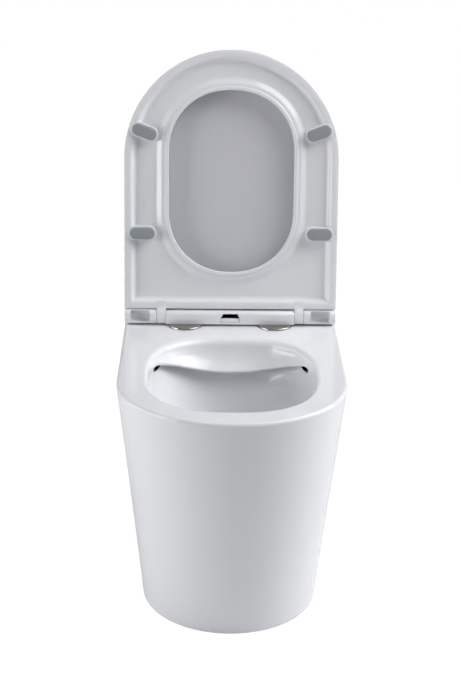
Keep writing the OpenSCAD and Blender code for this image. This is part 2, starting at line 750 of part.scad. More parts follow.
module base_screws()
    color(STEEL)
        at_hinge()
            both_sides()
                for (p = boss_places)
                    translate([p[0], p[1], -bar_below + 0.4]) {
                        cylinder(d = 2.1, h = 7.5, $fn = 24);
                        cylinder(d = 2.7, h = base_t - 0.5, $fn = 24);
                    }

// A sealed oil damper: a ribbed cartridge with a socket for its shaft
module damper(side)
    color(INNER_WHITE)
        at_hinge()
            on_side(side)
                difference() {
                    union() {
                        rod_x(damper_x, damper_x + damper_l, damper_d - 0.8);
                        rod_x(damper_x + 2, damper_x + damper_l / 2 - 4, damper_d);
                        rod_x(damper_x + damper_l / 2 + 4, damper_x + damper_l - 1, damper_d);
                        rod_x(damper_x - 0.2, damper_x + 2, damper_d - 4);
                    }
                    rod_x(damper_x + damper_l - shaft_in - 0.3, damper_x + damper_l + 1, shaft_d + 2 * run_fit);
                }

// Shaft of the left damper, keyed to the seat's lug and round where the cover turns on it
module damper_shaft_left()
    color(STEEL)
        raised()
            on_side(-1) {
                rod_x(damper_x + damper_l - shaft_in, lug_x - 0.1, shaft_d);
                flatted_rod(lug_x - 0.2, lug_x + lug_w, shaft_d, shaft_flat);
                rod_x(lug_x + lug_w - 1, pocket_x - 0.5, shaft_flat);
            }

// Shaft of the right damper, round through the seat's lug and keyed to the cover's ear
module damper_shaft_right()
    color(STEEL)
        raised() {
            rod_x(damper_x + damper_l - shaft_in, ear_x - 0.1, shaft_d);
            flatted_rod(ear_x - 0.2, pocket_x - 0.5, shaft_d, shaft_flat);
        }

bush_d_left = shaft_flat + 2 * run_fit + 2 * bush_wall;
bush_d_right = shaft_d + 2 * run_fit + 2 * bush_wall;
module hinge_bush_left()
    color(INNER_WHITE)
        raised()
            on_side(-1)
                difference() {
                    rod_x(ear_x + 0.1, pocket_x - 0.1, bush_d_left);
                    rod_x(ear_x - 1, pocket_x + 1, shaft_flat + 2 * run_fit);
                }

module hinge_bush_right()
    color(INNER_WHITE)
        raised()
            difference() {
                rod_x(lug_x + 0.1, lug_x + lug_w - 0.1, bush_d_right);
                rod_x(lug_x - 1, lug_x + lug_w + 1, shaft_d + 2 * run_fit);
            }

// ---------------------------------------------------------------- release button and latches

// The tab stands a little inside the bar's face; the stem runs back from it between the dampers
button_face = bar_front - 1;
stem_w = 15;
head_front = latch_mid_y - latch_w / 2 - 1;
head_back = bar_back - bar_wall - button_travel - 0.4;
// Place of the cam pins, which slide in the latches' slanted slots
cam_x = 7.5;
cam_y = latch_mid_y - button_travel / 2;
module release_button()
    color(SEAT_WHITE)
        at_hinge() {
            // finger tab in the foot of the opening
            translate([0, -button_face, 0]) rotate([90, 0, 0]) mirror([0, 0, 1])
                linear_extrude(2.4) button_outline(0.25, button_low + button_h);
            // stem between the dampers, over the spring
            translate([-stem_w / 2, -button_face + 2, button_low + 0.6])
                cube([stem_w, button_face - 2.4, button_h - 1.4]);
            translate([-stem_w / 2, -button_face + 2, -1.6])
                cube([stem_w, button_face - 2 + head_back, 1.6 + latch_low - 0.2]);
            // shoulders and cam pins that draw the latches in
            both_sides() {
                translate([cam_x - 2, head_front, -1.6])
                    cube([cam_pin_d + 1, head_back - head_front, 1.6 + latch_low - 0.2]);
                translate([cam_x, cam_y, -1]) cylinder(d = cam_pin_d, h = 1 + latch_low + latch_t - 0.1, $fn = 32);
            }
        }

// Coil spring behind the button, wound about Y
spring_from = -0.4 + 0.15;
spring_to = bar_back - bar_wall - 0.15;
spring_steps = 10;
spring_sides = 6;
spring_turns = spring_coils * spring_steps;
spring_centre_r = (spring_d - spring_wire) / 2;
spring_run = spring_to - spring_from - spring_wire;
function spring_point(k, s) =
    let (
        turn = 360 * k / spring_steps, lean_in = 360 * s / spring_sides,
        r = spring_centre_r + spring_wire / 2 * cos(lean_in)
    )
    [r * cos(turn), spring_from + spring_wire / 2 + spring_run * k / spring_turns
        + spring_wire / 2 * sin(lean_in), spring_z + r * sin(turn)];
module release_spring()
    color(STEEL)
        at_hinge()
            polyhedron(
                points = [for (k = [0 : spring_turns]) for (s = [0 : spring_sides - 1]) spring_point(k, s)],
                faces = concat(
                    [for (k = [0 : spring_turns - 1]) for (s = [0 : spring_sides - 1])
                        let (a = k * spring_sides, b = a + spring_sides, t = (s + 1) % spring_sides)
                        each [[a + s, a + t, b + t], [a + s, b + t, b + s]]],
                    [[for (s = [spring_sides - 1 : -1 : 0]) s]],
                    [[for (s = [0 : spring_sides - 1]) spring_turns * spring_sides + s]]
                )
            );

// A latch plate: a cam slot at the button, and a hollowed tip that enters the post's groove
latch_in = cam_x - 4;
module latch(side)
    color(STEEL)
        at_hinge()
            on_side(side)
                difference() {
                    translate([latch_in, latch_mid_y - latch_w / 2, latch_low])
                        cube([fixing_pitch / 2 - 1 - latch_in, latch_w, latch_t]);
                    translate([0, 0, latch_low - 1]) {
                        for (k = [0, 1]) translate([cam_x + k * button_travel, cam_y + k * button_travel, 0])
                            cylinder(d = cam_pin_d + 2 * run_fit + 0.06, h = latch_t + 2, $fn = 32);
                        translate([cam_x, cam_y, 0]) rotate([0, 0, 45])
                            translate([0, -cam_pin_d / 2 - run_fit, 0])
                                cube([button_travel * sqrt(2), cam_pin_d + 2 * run_fit, latch_t + 2]);
                        translate([fixing_pitch / 2, post_back, 0])
                            cylinder(d = groove_d + 0.5, h = latch_t + 2, $fn = 32);
                    }
                }

// ---------------------------------------------------------------- seat

// The seat's D about the hinge axis when closed, drawn in by inset, at height t
function seat_outer(inset, t) =
    whole(d_half(seat_a - inset, seat_a - inset, -nose_at, -(seat_rear + inset)), t);

// The seat's hole about the hinge axis when closed, grown by grow, at height t
function seat_inner(grow, t) =
    let (r = hole_w / 2)
    whole(slot_half(r + grow, -(hole_front - r), -(hole_back + r), hole_squareness), t);

channel_t = -seat_below + seat_channel;
seat_rings = [
    seat_outer(0.8, -seat_below),
    seat_outer(0, -seat_below + 1.6),
    seat_outer(0, seat_top - 5.6),
    seat_outer(1.4, seat_top - 2.2),
    seat_outer(5, seat_top - 0.4),
    seat_outer(12, seat_top),
    seat_inner(14, seat_top - 0.2),
    seat_inner(5, seat_top - 1.8),
    seat_inner(1, seat_top - 5.4),
    seat_inner(0, seat_top - 10),
    seat_inner(0, -seat_below + 2.2),
    seat_inner(1.6, -seat_below + 1),
    seat_inner(6.4, -seat_below + 1),
    seat_inner(8, -seat_below + 4),
    seat_inner(20, channel_t),
    seat_outer(seat_flange + 6, channel_t),
    seat_outer(seat_flange + 2.4, -seat_below + 3),
    seat_outer(seat_flange, -seat_below)
];

// Places of the buffers on the closed seat: [x, distance from the axis, turn]
buffer_edge = buffer_l / 2 + 9.5;
front_reach = seat_a - buffer_w - 7.8;
buffer_places = [
    [seat_a - buffer_edge, rear_buffer_at, 0],
    [front_reach * sin(front_buffer_way), nose_at + front_reach * cos(front_buffer_way), front_buffer_turn]
];
module at_buffers()
    both_sides()
        for (p = buffer_places) translate([p[0], -p[1], 0]) rotate([0, 0, -p[2]]) children();
socket_low = -seat_below - 1.2;
buffer_seat = -seat_below + 4;

// A lug beside the hinge bar, part of the seat
module seat_lug_profile() {
    circle(r = knuckle_r, $fn = 48);
    polygon([
        [0, -knuckle_r], [-9, -knuckle_r], [-13.5, -knuckle_r + 2], [-17, -seat_below],
        [-seat_rear - 14, -seat_below], [-seat_rear - 14, seat_top - 2], [-seat_rear - 3, seat_top - 0.4],
        [-7, knuckle_r - 2], [0, knuckle_r]
    ]);
}

module seat()
    color(SEAT_WHITE)
        raised()
            difference() {
                union() {
                    ring_loft(seat_rings);
                    both_sides() along_x(lug_x, lug_x + lug_w) seat_lug_profile();
                    at_buffers()
                        oblong(buffer_l + 2 * socket_wall, buffer_w + 2 * socket_wall, socket_low, channel_t + 2);
                }
                at_buffers()
                    oblong(buffer_l + 2 * seat_fit, buffer_w + 2 * seat_fit, socket_low - 1, buffer_seat);
                on_side(-1) flatted_rod(lug_x - 1, lug_x + lug_w + 1, shaft_d + 2 * seat_fit,
                    shaft_flat + 2 * seat_fit);
                rod_x(lug_x - 1, lug_x + lug_w + 1, bush_d_right + 2 * seat_fit);
            }

module seat_buffers()
    color(RUBBER_GREY)
        raised()
            at_buffers() {
                oblong(buffer_l, buffer_w, -hinge_h + rest_gap + 0.8, buffer_seat - 0.05);
                oblong(buffer_l - 1.6, buffer_w - 1.6, -hinge_h + rest_gap, -hinge_h + rest_gap + 1);
            }

// ---------------------------------------------------------------- cover

// The cover's D about the hinge axis when closed, drawn in by inset, at height t
function cover_outline(inset, t) =
    whole(d_half(seat_a - inset, seat_a - inset, -nose_at, ear_back - inset), t);
cover_inner_t = cover_top - cover_t;
cover_rings = [
    cover_outline(90, cover_inner_t),
    cover_outline(cover_rim_w + 14, cover_inner_t - 0.6),
    cover_outline(cover_rim_w + 4, cover_inner_t - 3),
    cover_outline(cover_rim_w, cover_rim + 0.8),
    cover_outline(cover_rim_w - 1, cover_rim),
    cover_outline(0.8, cover_rim),
    cover_outline(0, cover_rim + 1.4),
    cover_outline(0, cover_top - 6),
    cover_outline(1.6, cover_top - 2.4),
    cover_outline(5.5, cover_top - 0.5),
    cover_outline(14, cover_top),
    cover_outline(90, cover_top + cover_crown)
];

// An ear beside the seat's lug, below the cover's skirt
module ear_profile() {
    circle(r = knuckle_r, $fn = 48);
    // kept inside the circle that the seat's rear edge sweeps
    intersection() {
        circle(r = seat_rear - 0.6, $fn = 64);
        translate([-seat_rear + 1, -knuckle_r]) square([seat_rear - 1, knuckle_r + 1]);
    }
    polygon([
        [0, 0], [-seat_rear + 1, 0], [-seat_rear + 1, cover_rim + 5], [ear_back - 1, cover_rim + 5],
        [ear_back, cover_rim], [knuckle_r, 0]
    ]);
}
pocket_depth = knuckle_r + 9;
// Places of the cover's buffers: [x, distance from the axis]
cover_buffer_in = cover_rim_w + cover_buffer_d / 2 + 4;
cover_buffer_places = [
    [seat_a - cover_buffer_in - 12, hole_back + 13],
    [(seat_a - cover_buffer_in) * sin(61), nose_at + (seat_a - cover_buffer_in) * cos(61)]
];
module at_cover_buffers()
    both_sides()
        for (p = cover_buffer_places) translate([p[0], -p[1], 0]) children();
boss_low = cover_rim + 1;

module cover()
    color(SEAT_WHITE)
        raised()
            difference() {
                union() {
                    capped_loft(cover_rings,
                        [0, -seat_tip / 2, cover_inner_t], [0, -seat_tip / 2, cover_top + cover_crown]);
                    both_sides() along_x(ear_x, seat_a - 0.8) ear_profile();
                    at_cover_buffers() translate([0, 0, boss_low])
                        cylinder(d = cover_buffer_d + 2, h = cover_inner_t + 1 - boss_low, $fn = 32);
                }
                // room between the ears for the lugs and the hinge bar
                translate([-ear_x, -seat_rear, -30]) cube([2 * ear_x, 2 * seat_rear, 80]);
                both_sides() translate([pocket_x, -8, -knuckle_r - 1]) cube([pocket_w, 16, pocket_depth]);
                at_cover_buffers() translate([0, 0, boss_low - 1])
                    cylinder(d = 6 + 2 * seat_fit, h = 6, $fn = 32);
                on_side(-1) rod_x(ear_x - 1, pocket_x + 1, bush_d_left + 2 * seat_fit);
                flatted_rod(ear_x - 1, pocket_x + 1, shaft_d + 2 * seat_fit, shaft_flat + 2 * seat_fit);
            }

module cover_buffers()
    color(RUBBER_GREY)
        raised()
            at_cover_buffers() {
                translate([0, 0, seat_top + rest_gap])
                    cylinder(d = cover_buffer_d, h = boss_low - seat_top - rest_gap - 0.03, $fn = 32);
                translate([0, 0, boss_low - 1]) cylinder(d = 6, h = 5.6, $fn = 32);
            }

// ---------------------------------------------------------------- floor fixings

// The skirt at the side fixing holes: its outside, its lean, and the nearest part of its inside
skirt_out = blend(foot_a, rim_a, rise(side_hole_z));
skirt_lean = atan2(blend(foot_a, rim_a, rise(pan_h * 0.25)) - foot_a, pan_h * 0.25);
spacer_d = side_hole_d + 9;
skirt_in = blend(foot_a - 3, rim_a, rise(side_hole_z - spacer_d / 2)) - wall_t - rest_gap;
// The brackets' outer face, just inside the foot
bracket_x = foot_a - wall_t - 3 - rest_gap;
side_screw_d = 6;
module at_side_holes()
    both_sides() translate([0, wall_y - side_hole_inset, side_hole_z]) children();
module floor_brackets()
    color(INNER_WHITE)
        at_side_holes()
            difference() {
                union() {
                    translate([bracket_x - bracket_t, -bracket_w / 2, -side_hole_z])
                        cube([bracket_t, bracket_w, side_hole_z + spacer_d / 2 + 5]);
                    translate([bracket_x - bracket_foot, -bracket_w / 2, -side_hole_z])
                        cube([bracket_foot, bracket_w, bracket_t]);
                    rod_x(bracket_x - bracket_t, skirt_in, spacer_d);
                }
                rod_x(bracket_x - bracket_t - overcut, skirt_in + overcut, side_screw_d + 2 * run_fit);
                translate([bracket_x - bracket_foot / 2, 0, -side_hole_z - overcut])
                    cylinder(d = floor_hole_d, h = bracket_t + 2 * overcut, $fn = 32);
            }

module side_screws()
    color(STEEL)
        at_side_holes() {
            rod_x(bracket_x - bracket_t - 10, skirt_out + 1, side_screw_d);
            rod_x(skirt_out + 0.8, skirt_out + 2.4, 10);
        }

module side_nuts()
    color(STEEL)
        at_side_holes()
            difference() {
                translate([bracket_x - bracket_t - 5.4, 0, 0]) rotate([0, 90, 0])
                    cylinder(d = 11.5, h = 5.2, $fn = 6);
                rod_x(bracket_x - bracket_t - 10, bracket_x, side_screw_d + 2 * run_fit);
            }

// Domed caps that lie against the leaning skirt, over the screws' heads
module side_caps()
    color(CHROME)
        at_side_holes()
            translate([skirt_out + 0.2, 0, 0]) rotate([0, 90 + skirt_lean, 0]) rotate_extrude($fn = 48) polygon([
                [side_cap_d / 2 - 1.2, 0], [side_cap_d / 2, 0], [side_cap_d / 2, 2.2],
                [side_cap_d / 2 - 1.4, 3.8], [0, 4.6], [0, 3.4], [side_cap_d / 2 - 2, 2.9]
            ]);

pan();
hinge_plate(-1);  // hinge_plate_left
hinge_plate(1);  // hinge_plate_right
hinge_cap(-1);  // hinge_cap_left
hinge_cap(1);  // hinge_cap_right
plate_gaskets();
fixing_bolts();
cone_washers();
wing_nut(-1);  // wing_nut_left
wing_nut(1);  // wing_nut_right
hinge_bar();
hinge_bar_base();
base_screws();
damper(-1);  // damper_left
damper(1);  // damper_right
damper_shaft_left();
damper_shaft_right();
hinge_bush_left();
hinge_bush_right();
release_button();
release_spring();
latch(-1);  // latch_left
latch(1);  // latch_right
seat();
seat_buffers();
cover();
cover_buffers();
floor_brackets();
side_screws();
side_nuts();
side_caps();
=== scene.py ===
# %% [markdown]
# # A back to wall toilet, as a lesson in Blender
# The real object is a skirted ceramic pan with a wrap-over seat and cover, raised against the
# wall. The packed CAD model is the frame of the scene: it says where each body turns and how big
# each piece is. We load it first.

# %% Load the packed model
import json
import math

import bpy
import numpy as np
from mathutils import Matrix, Vector


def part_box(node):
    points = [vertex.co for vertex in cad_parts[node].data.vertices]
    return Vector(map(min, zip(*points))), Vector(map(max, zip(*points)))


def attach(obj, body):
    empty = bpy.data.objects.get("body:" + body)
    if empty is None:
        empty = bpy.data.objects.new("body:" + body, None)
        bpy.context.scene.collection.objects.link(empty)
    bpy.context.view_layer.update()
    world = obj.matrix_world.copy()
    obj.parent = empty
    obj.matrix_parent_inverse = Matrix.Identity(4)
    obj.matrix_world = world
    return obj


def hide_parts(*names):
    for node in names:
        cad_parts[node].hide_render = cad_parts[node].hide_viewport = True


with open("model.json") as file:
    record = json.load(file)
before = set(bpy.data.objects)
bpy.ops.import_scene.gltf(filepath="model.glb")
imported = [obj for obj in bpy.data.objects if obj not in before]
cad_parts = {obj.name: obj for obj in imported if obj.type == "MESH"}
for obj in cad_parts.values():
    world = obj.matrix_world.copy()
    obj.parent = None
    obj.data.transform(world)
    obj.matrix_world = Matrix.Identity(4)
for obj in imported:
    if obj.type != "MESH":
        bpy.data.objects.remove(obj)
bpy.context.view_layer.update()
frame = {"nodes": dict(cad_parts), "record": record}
nodes = frame["nodes"]

# %% [markdown]
# ## The camera
# The photograph was taken from a little above and almost straight ahead, with a long lens. A
# camera could be placed by eye, but here its place, its three turns and its lens were worked out
# from known corners of the toilet, so the render can be laid over the photograph. The lens is
# given for the height of the picture, and the small shifts put the middle of the view where the
# photograph has it.

# %% Camera
PICTURE_W, PICTURE_H = 460, 690
FOCAL_PX = 1631.6
CENTRE_PX = (230.6, 326.1)
YAW, PITCH, ROLL = (math.radians(turn) for turn in (0.93, 19.01, 0.70))
EYE = Vector((-0.0424, -2.5073, 1.3212))

forward = Vector((math.cos(PITCH) * math.sin(YAW), math.cos(PITCH) * math.cos(YAW),
                  -math.sin(PITCH)))
level = Vector((math.cos(YAW), -math.sin(YAW), 0))
upright = level.cross(forward)
right = level * math.cos(ROLL) + upright * math.sin(ROLL)
up = upright * math.cos(ROLL) - level * math.sin(ROLL)

lens = bpy.data.cameras.new("photo_camera")
lens.sensor_fit, lens.sensor_height = "VERTICAL", 36
lens.lens = FOCAL_PX * lens.sensor_height / PICTURE_H
lens.shift_x = (PICTURE_W / 2 - CENTRE_PX[0]) / PICTURE_H
lens.shift_y = (CENTRE_PX[1] - PICTURE_H / 2) / PICTURE_H
camera = bpy.data.objects.new("photo_camera", lens)
facing = Matrix((right, up, -forward)).transposed().to_4x4()
camera.matrix_world = Matrix.Translation(EYE) @ facing
bpy.context.scene.collection.objects.link(camera)
bpy.context.scene.camera = camera
print("lens", round(lens.lens, 2), "mm, up", [round(v, 3) for v in up])

# %% [markdown]
# ## Shader maths as plain sums
# A shader is a graph of nodes, and long sums become hard to read as node calls. One small class
# wraps a socket, so that `1 - mask` or `height * 2` adds the Math nodes itself. The reflected
# forms, such as `__rsub__`, are what Python calls when the plain number stands first.

# %% Sockets
class Sock:
    """A number inside a shader; + - * < > and abs on it add the Math nodes that work it out."""

    def __init__(self, finish, socket):
        self.finish, self.socket = finish, socket

    def maths(self, operation, first, second):
        """A Math node that does the operation on two sockets or numbers."""
        return self.finish.node("ShaderNodeMath", {"operation": operation}, {0: first, 1: second})

    def __add__(self, other): return self.maths("ADD", self, other)
    def __radd__(self, other): return self.maths("ADD", other, self)
    def __sub__(self, other): return self.maths("SUBTRACT", self, other)
    def __rsub__(self, other): return self.maths("SUBTRACT", other, self)
    def __mul__(self, other): return self.maths("MULTIPLY", self, other)
    def __rmul__(self, other): return self.maths("MULTIPLY", other, self)
    def __lt__(self, other): return self.maths("LESS_THAN", self, other)
    def __gt__(self, other): return self.maths("GREATER_THAN", self, other)
    def __abs__(self): return self.maths("ABSOLUTE", self, 0)


print("a socket has", [name for name, part in vars(Sock).items() if callable(part)])

# %% [markdown]
# ## Finishes
# A finish is a material and a few short ways to add nodes to it. One method makes every node from
# its type, its settings and the values or links of its sockets, and the others are the sentences
# that are said most: where on the piece, how much noise, which colour between two. The sky has
# nodes like a material's, so the same class serves it.

# %% Finishes
MIX_LOW, MIX_HIGH, MIX_COLOUR = 6, 7, 2     # the Mix node's sockets for two colours and their mix


class Finish:
    """The nodes of a material or of the sky, and short ways to add to them."""

    def __init__(self, owner):
        owner.use_nodes = True
        self.owner, self.tree = owner, owner.node_tree
        self.tree.nodes.clear()

    def node(self, kind, settings, inputs, out=0):
        """Adds a node of that kind: settings first, then its sockets' values or links."""
        made = self.tree.nodes.new(kind)
        for name, value in settings.items():
            setattr(made, name, value)
        for name, value in inputs.items():
            if isinstance(value, Sock):
                self.tree.links.new(value.socket, made.inputs[name])
            else:
                made.inputs[name].default_value = value
        return Sock(self, made.outputs[out]) if made.outputs else None

    def place(self):
        """The point on the piece, in metres, in the frame of the whole object at rest."""
        return self.node("ShaderNodeTexCoord", {}, {}, out="Object")

    def parts(self, vector):
        """The X, Y and Z of a vector."""
        return [self.node("ShaderNodeSeparateXYZ", {}, {"Vector": vector}, out=axis)
                for axis in "XYZ"]

    def noise(self, scale, detail, stretch=(1, 1, 1)):
        """Soft noise from 0 to 1, with about `scale` lumps to the metre, drawn out by stretch."""
        where = self.node("ShaderNodeMapping", {}, {"Vector": self.place(), "Scale": stretch})
        return self.node("ShaderNodeTexNoise", {},
                         {"Vector": where, "Scale": scale, "Detail": detail})

    def between(self, low, high, share):
        """A colour between two, plain or from sockets: low where share is 0, high where it is 1."""
        ends = {socket: (*colour, 1) if isinstance(colour, tuple) else colour
                for socket, colour in ((MIX_LOW, low), (MIX_HIGH, high))}
        return self.node("ShaderNodeMix", {"data_type": "RGBA"}, {0: share, **ends},
                         out=MIX_COLOUR)

    def bumps(self, height, distance):
        """A normal that makes heights from 0 to 1 stand `distance` metres high."""
        return self.node("ShaderNodeBump", {},
                         {"Height": height, "Distance": distance, "Strength": 1})

    def done(self, **sockets):
        """Ends the material in a Principled shader with these sockets."""
        inputs = {name.replace("_", " "): value for name, value in sockets.items()}
        shader = self.node("ShaderNodeBsdfPrincipled", {}, inputs)
        self.node("ShaderNodeOutputMaterial", {}, {"Surface": shader})
        return self.owner


def new_finish(name):
    """A finish in a new material of that name."""
    return Finish(bpy.data.materials.new(name))


print("a finish can", [name for name in vars(Finish) if not name.startswith("_")])

# %% [markdown]
# ## The stage
# The photograph is a cut-out: pure white all round, with no shadow to be seen. A floor that is lit
# to pure white would drown the object in bounced light, so the floor and the sky are white only to
# the camera, also through glass. In reflections they are dim, because a glaze that mirrors a white
# room loses its own light and shade. To everything else they give a plain, soft light. A little of
# the floor's real, light grey surface stays in the mix, so it keeps a faint shadow under the foot.

# %% Floor and sky
SKY_LIGHT = 0.04
FLOOR_GREY, WHITE = (0.80, 0.80, 0.81, 1), (1, 1, 1, 1)
FLOOR_WHITE, FLOOR_GLOW = 0.94, 1.06
MIRRORED_WHITE = 0.12
FLOOR_REACH = 9


def seen(finish):
    """1 for rays from the camera or through glass, MIRRORED_WHITE for those off a gloss, else 0."""
    camera_ray, glass_ray, glossy_ray = (
        finish.node("ShaderNodeLightPath", {}, {}, out=name)
        for name in ("Is Camera Ray", "Is Transmission Ray", "Is Glossy Ray"))
    return camera_ray + glass_ray + glossy_ray * MIRRORED_WHITE


white_floor = new_finish("white_floor")
plain = white_floor.node("ShaderNodeBsdfDiffuse", {}, {"Color": FLOOR_GREY})
glow = white_floor.node("ShaderNodeEmission", {}, {"Color": WHITE, "Strength": FLOOR_GLOW})
mixed = white_floor.node("ShaderNodeMixShader", {},
                         {0: seen(white_floor) * FLOOR_WHITE, 1: plain, 2: glow})
white_floor.node("ShaderNodeOutputMaterial", {}, {"Surface": mixed})

floor_mesh = bpy.data.meshes.new("studio_floor")
floor_mesh.from_pydata([(x * FLOOR_REACH, y * FLOOR_REACH, 0)
                        for x, y in ((-1, -1), (1, -1), (1, 1), (-1, 1))], [], [(0, 1, 2, 3)])
floor_mesh.materials.append(white_floor.owner)
floor = bpy.data.objects.new("studio_floor", floor_mesh)
bpy.context.scene.collection.objects.link(floor)

bpy.context.scene.world = bpy.data.worlds.new("studio_sky")
sky = Finish(bpy.context.scene.world)
sky_strength = SKY_LIGHT + seen(sky) * (1 - SKY_LIGHT)
sky_shader = sky.node("ShaderNodeBackground", {}, {"Color": WHITE, "Strength": sky_strength})
sky.node("ShaderNodeOutputWorld", {}, {"Surface": sky_shader})
print("sky gives", SKY_LIGHT, "of white to the object")

# %% [markdown]
# ## Soft boxes
# The skirt is darkest along its middle and bright at both sides, so most lamps stand at the sides:
# a small tall one and a long low one on the left, four on the right, from low to high, and two
# faint ones overhead. Large lamps give the broad, soft highlights that a glaze shows. Strengths
# could be set by eye, but light adds up, so each lamp was rendered alone, and the sum was fitted
# to the tones of the photograph.

# %% Soft boxes
LAMPS_AIM = (0, 0, 0.4)


def soft_box(name, place, width, height, watts):
    """A rectangular lamp at place, facing LAMPS_AIM, of that width and height in metres."""
    lamp = bpy.data.lights.new(name, "AREA")
    lamp.shape, lamp.size, lamp.size_y, lamp.energy = "RECTANGLE", width, height, watts
    lamp_object = bpy.data.objects.new(name, lamp)
    turn = (Vector(LAMPS_AIM) - Vector(place)).to_track_quat("-Z", "Y")
    lamp_object.matrix_world = Matrix.Translation(place) @ turn.to_matrix().to_4x4()
    bpy.context.scene.collection.objects.link(lamp_object)


for name, place, width, height, watts in (      # metres and watts
        ("left_front_box", (-2.5, -0.9, 1.2), 1.3, 1.8, 13.8),
        ("left_low_box", (-2.6, -0.4, 0.65), 3.0, 1.1, 38.5),
        ("right_front_box", (2.5, -0.8, 1.4), 1.3, 1.8, 3.5),
        ("right_low_box", (2.6, 0.3, 0.8), 1.3, 1.1, 11.5),
        ("right_side_box", (2.1, 0.2, 2.0), 1.8, 1.4, 27.5),
        ("right_high_box", (1.6, -0.5, 2.4), 1.8, 1.8, 40.5),
        ("top_box", (0, -0.3, 2.8), 1.8, 1.6, 4),
        ("back_high_box", (0, 0.7, 2.6), 1.8, 1.0, 3)):
    soft_box(name, place, width, height, watts)

# %% [markdown]
# ## Glaze and glossy plastic
# Vitreous china is white clay under a clear glassy glaze: almost a mirror at a glance, with a soft
# orange peel that bends reflections and a very faint change of tone where the glaze ran thicker.
# The seat is moulded urea plastic, as glossy but a little softer, so one function makes both. A
# mask can paint shade on a part of the surface, such as the inside of a jet, where a renderer's few
# bounces of light would leave a white hole too bright.

# %% Glaze and glossy plastic
DRIFT_SCALE = 7
GLOSSY_IOR = 1.5
# Near black, the colour of painted shade in hollows such as the jets and the gap round the button.
PAINTED_SHADE_BLACK = (0.012, 0.012, 0.013)
SEAT_WHITE = {"low": (0.80, 0.808, 0.838), "high": (0.84, 0.848, 0.878),
              "rough": 0.10, "peel_size": 0.0035, "peel_height": 0.00001}


def glossy_white(name, low, high, rough, peel_size, peel_height, dark=None, shade=PAINTED_SHADE_BLACK):
    """A glossy white: tone and roughness drift over hands' breadths, under a soft orange peel."""
    finish = new_finish(name)
    drift = finish.noise(DRIFT_SCALE, 3)
    colour = finish.between(low, high, drift)
    # Painted shade: where the mask is 1, the colour goes over to the shade colour.
    if dark:
        colour = finish.between(colour, shade, dark(finish))
    peel = finish.noise(1 / peel_size, 1)
    return finish.done(Base_Color=colour, Roughness=rough + drift * rough * 0.6,
                       Normal=finish.bumps(peel, peel_height), IOR=GLOSSY_IOR)


seat_plastic = glossy_white("seat_plastic", **SEAT_WHITE)
print("glossy finish:", seat_plastic.name)

# %% [markdown]
# ## Rubber, hidden plastic and metal
# The pads are grey rubber and the inner parts a plain moulding plastic: both are matte with a fine
# tooth, which spark erosion leaves in the mould. The caps are polished metal with a warm tone, and
# the hidden fittings are steel, whose brushed lines are noise that is drawn out along one way.

# %% Rubber, hidden plastic and metal
MATTE_DRIFT_SCALE, TOOTH_SCALE, TOOTH_HEIGHT = 30, 1500, 0.00002
LINE_HEIGHT = 0.000004


def matte_plastic(name, colour, rough):
    """A moulded plastic with a fine spark-eroded tooth, and tone that drifts slightly."""
    finish = new_finish(name)
    drift = finish.noise(MATTE_DRIFT_SCALE, 3)
    low = tuple(c * 0.94 for c in colour)
    tooth = finish.noise(TOOTH_SCALE, 2)
    return finish.done(Base_Color=finish.between(low, colour, drift),
                       Roughness=rough + drift * 0.1, Normal=finish.bumps(tooth, TOOTH_HEIGHT))


def metal(name, colour, rough, grain, stretch):
    """A metal with fine lines along one way, which catch the light as roughness and bump."""
    finish = new_finish(name)
    lines = finish.noise(grain, 3, stretch)
    tone = finish.between(tuple(c * 0.9 for c in colour), colour, lines)
    return finish.done(Base_Color=tone, Metallic=1.0, Roughness=rough + lines * rough * 0.8,
                       Normal=finish.bumps(lines, LINE_HEIGHT))


inner_plastic = matte_plastic("inner_plastic", (0.74, 0.75, 0.77), 0.38)
buffer_rubber = matte_plastic("buffer_rubber", (0.30, 0.325, 0.365), 0.55)
seal_rubber = matte_plastic("seal_rubber", (0.022, 0.022, 0.024), 0.6)
chrome = metal("chrome", (0.40, 0.38, 0.355), 0.09, 260, (1, 1, 1))
steel = metal("steel", (0.56, 0.57, 0.58), 0.28, 900, (1, 1, 0.06))
print("finishes", [m.name for m in bpy.data.materials])

# %% [markdown]
# ## Outlines as rings
# The pan, the seat and the cover are all Ds: a round nose, straight sides and a flat back, while
# the bowl and the seat's hole are squarish ovals. They could be drawn as curves, but here each is
# a ring with the same number of points, so that any ring can be skinned to any other. A ring is a
# whole array worked out at once: the right half runs from the middle of the front to the middle of
# the back and is then mirrored. Lengths are millimetres until a mesh is made.

# %% Rings
NOSE_STEPS, SIDE_STEPS, CORNER_STEPS, BACK_STEPS = 56, 26, 8, 18
SIDE_TURN, BACK_TURN = 90, 138      # where an oval's side and back steps start, in degrees


def share(steps):
    """Steps equal parts of the way from 0 to 1, without the start."""
    return np.arange(1, steps + 1) / steps


nose_turn = np.radians(np.linspace(0, 90, NOSE_STEPS + 1))
spoke_turn = np.concatenate([
    nose_turn,
    np.radians(SIDE_TURN + (BACK_TURN - SIDE_TURN) * share(SIDE_STEPS)),
    np.radians(BACK_TURN + (180 - BACK_TURN) * share(CORNER_STEPS + BACK_STEPS))])
slot_turn = np.concatenate([nose_turn, np.full(SIDE_STEPS, math.pi / 2),
                            np.radians(90 + 90 * share(CORNER_STEPS + BACK_STEPS))])


def whole(x, y, z):
    """Mirrors the right half of an outline into a closed ring of points at height z."""
    half = np.stack([x, y, np.broadcast_to(z, x.shape)], 1)
    return np.concatenate([half, half[-2:0:-1] * (-1, 1, 1)])


def squared(c, squareness):
    """A coordinate on a superellipse: the sine or cosine, raised to 2 over the squareness."""
    return np.sign(c) * np.abs(c) ** (2 / squareness)


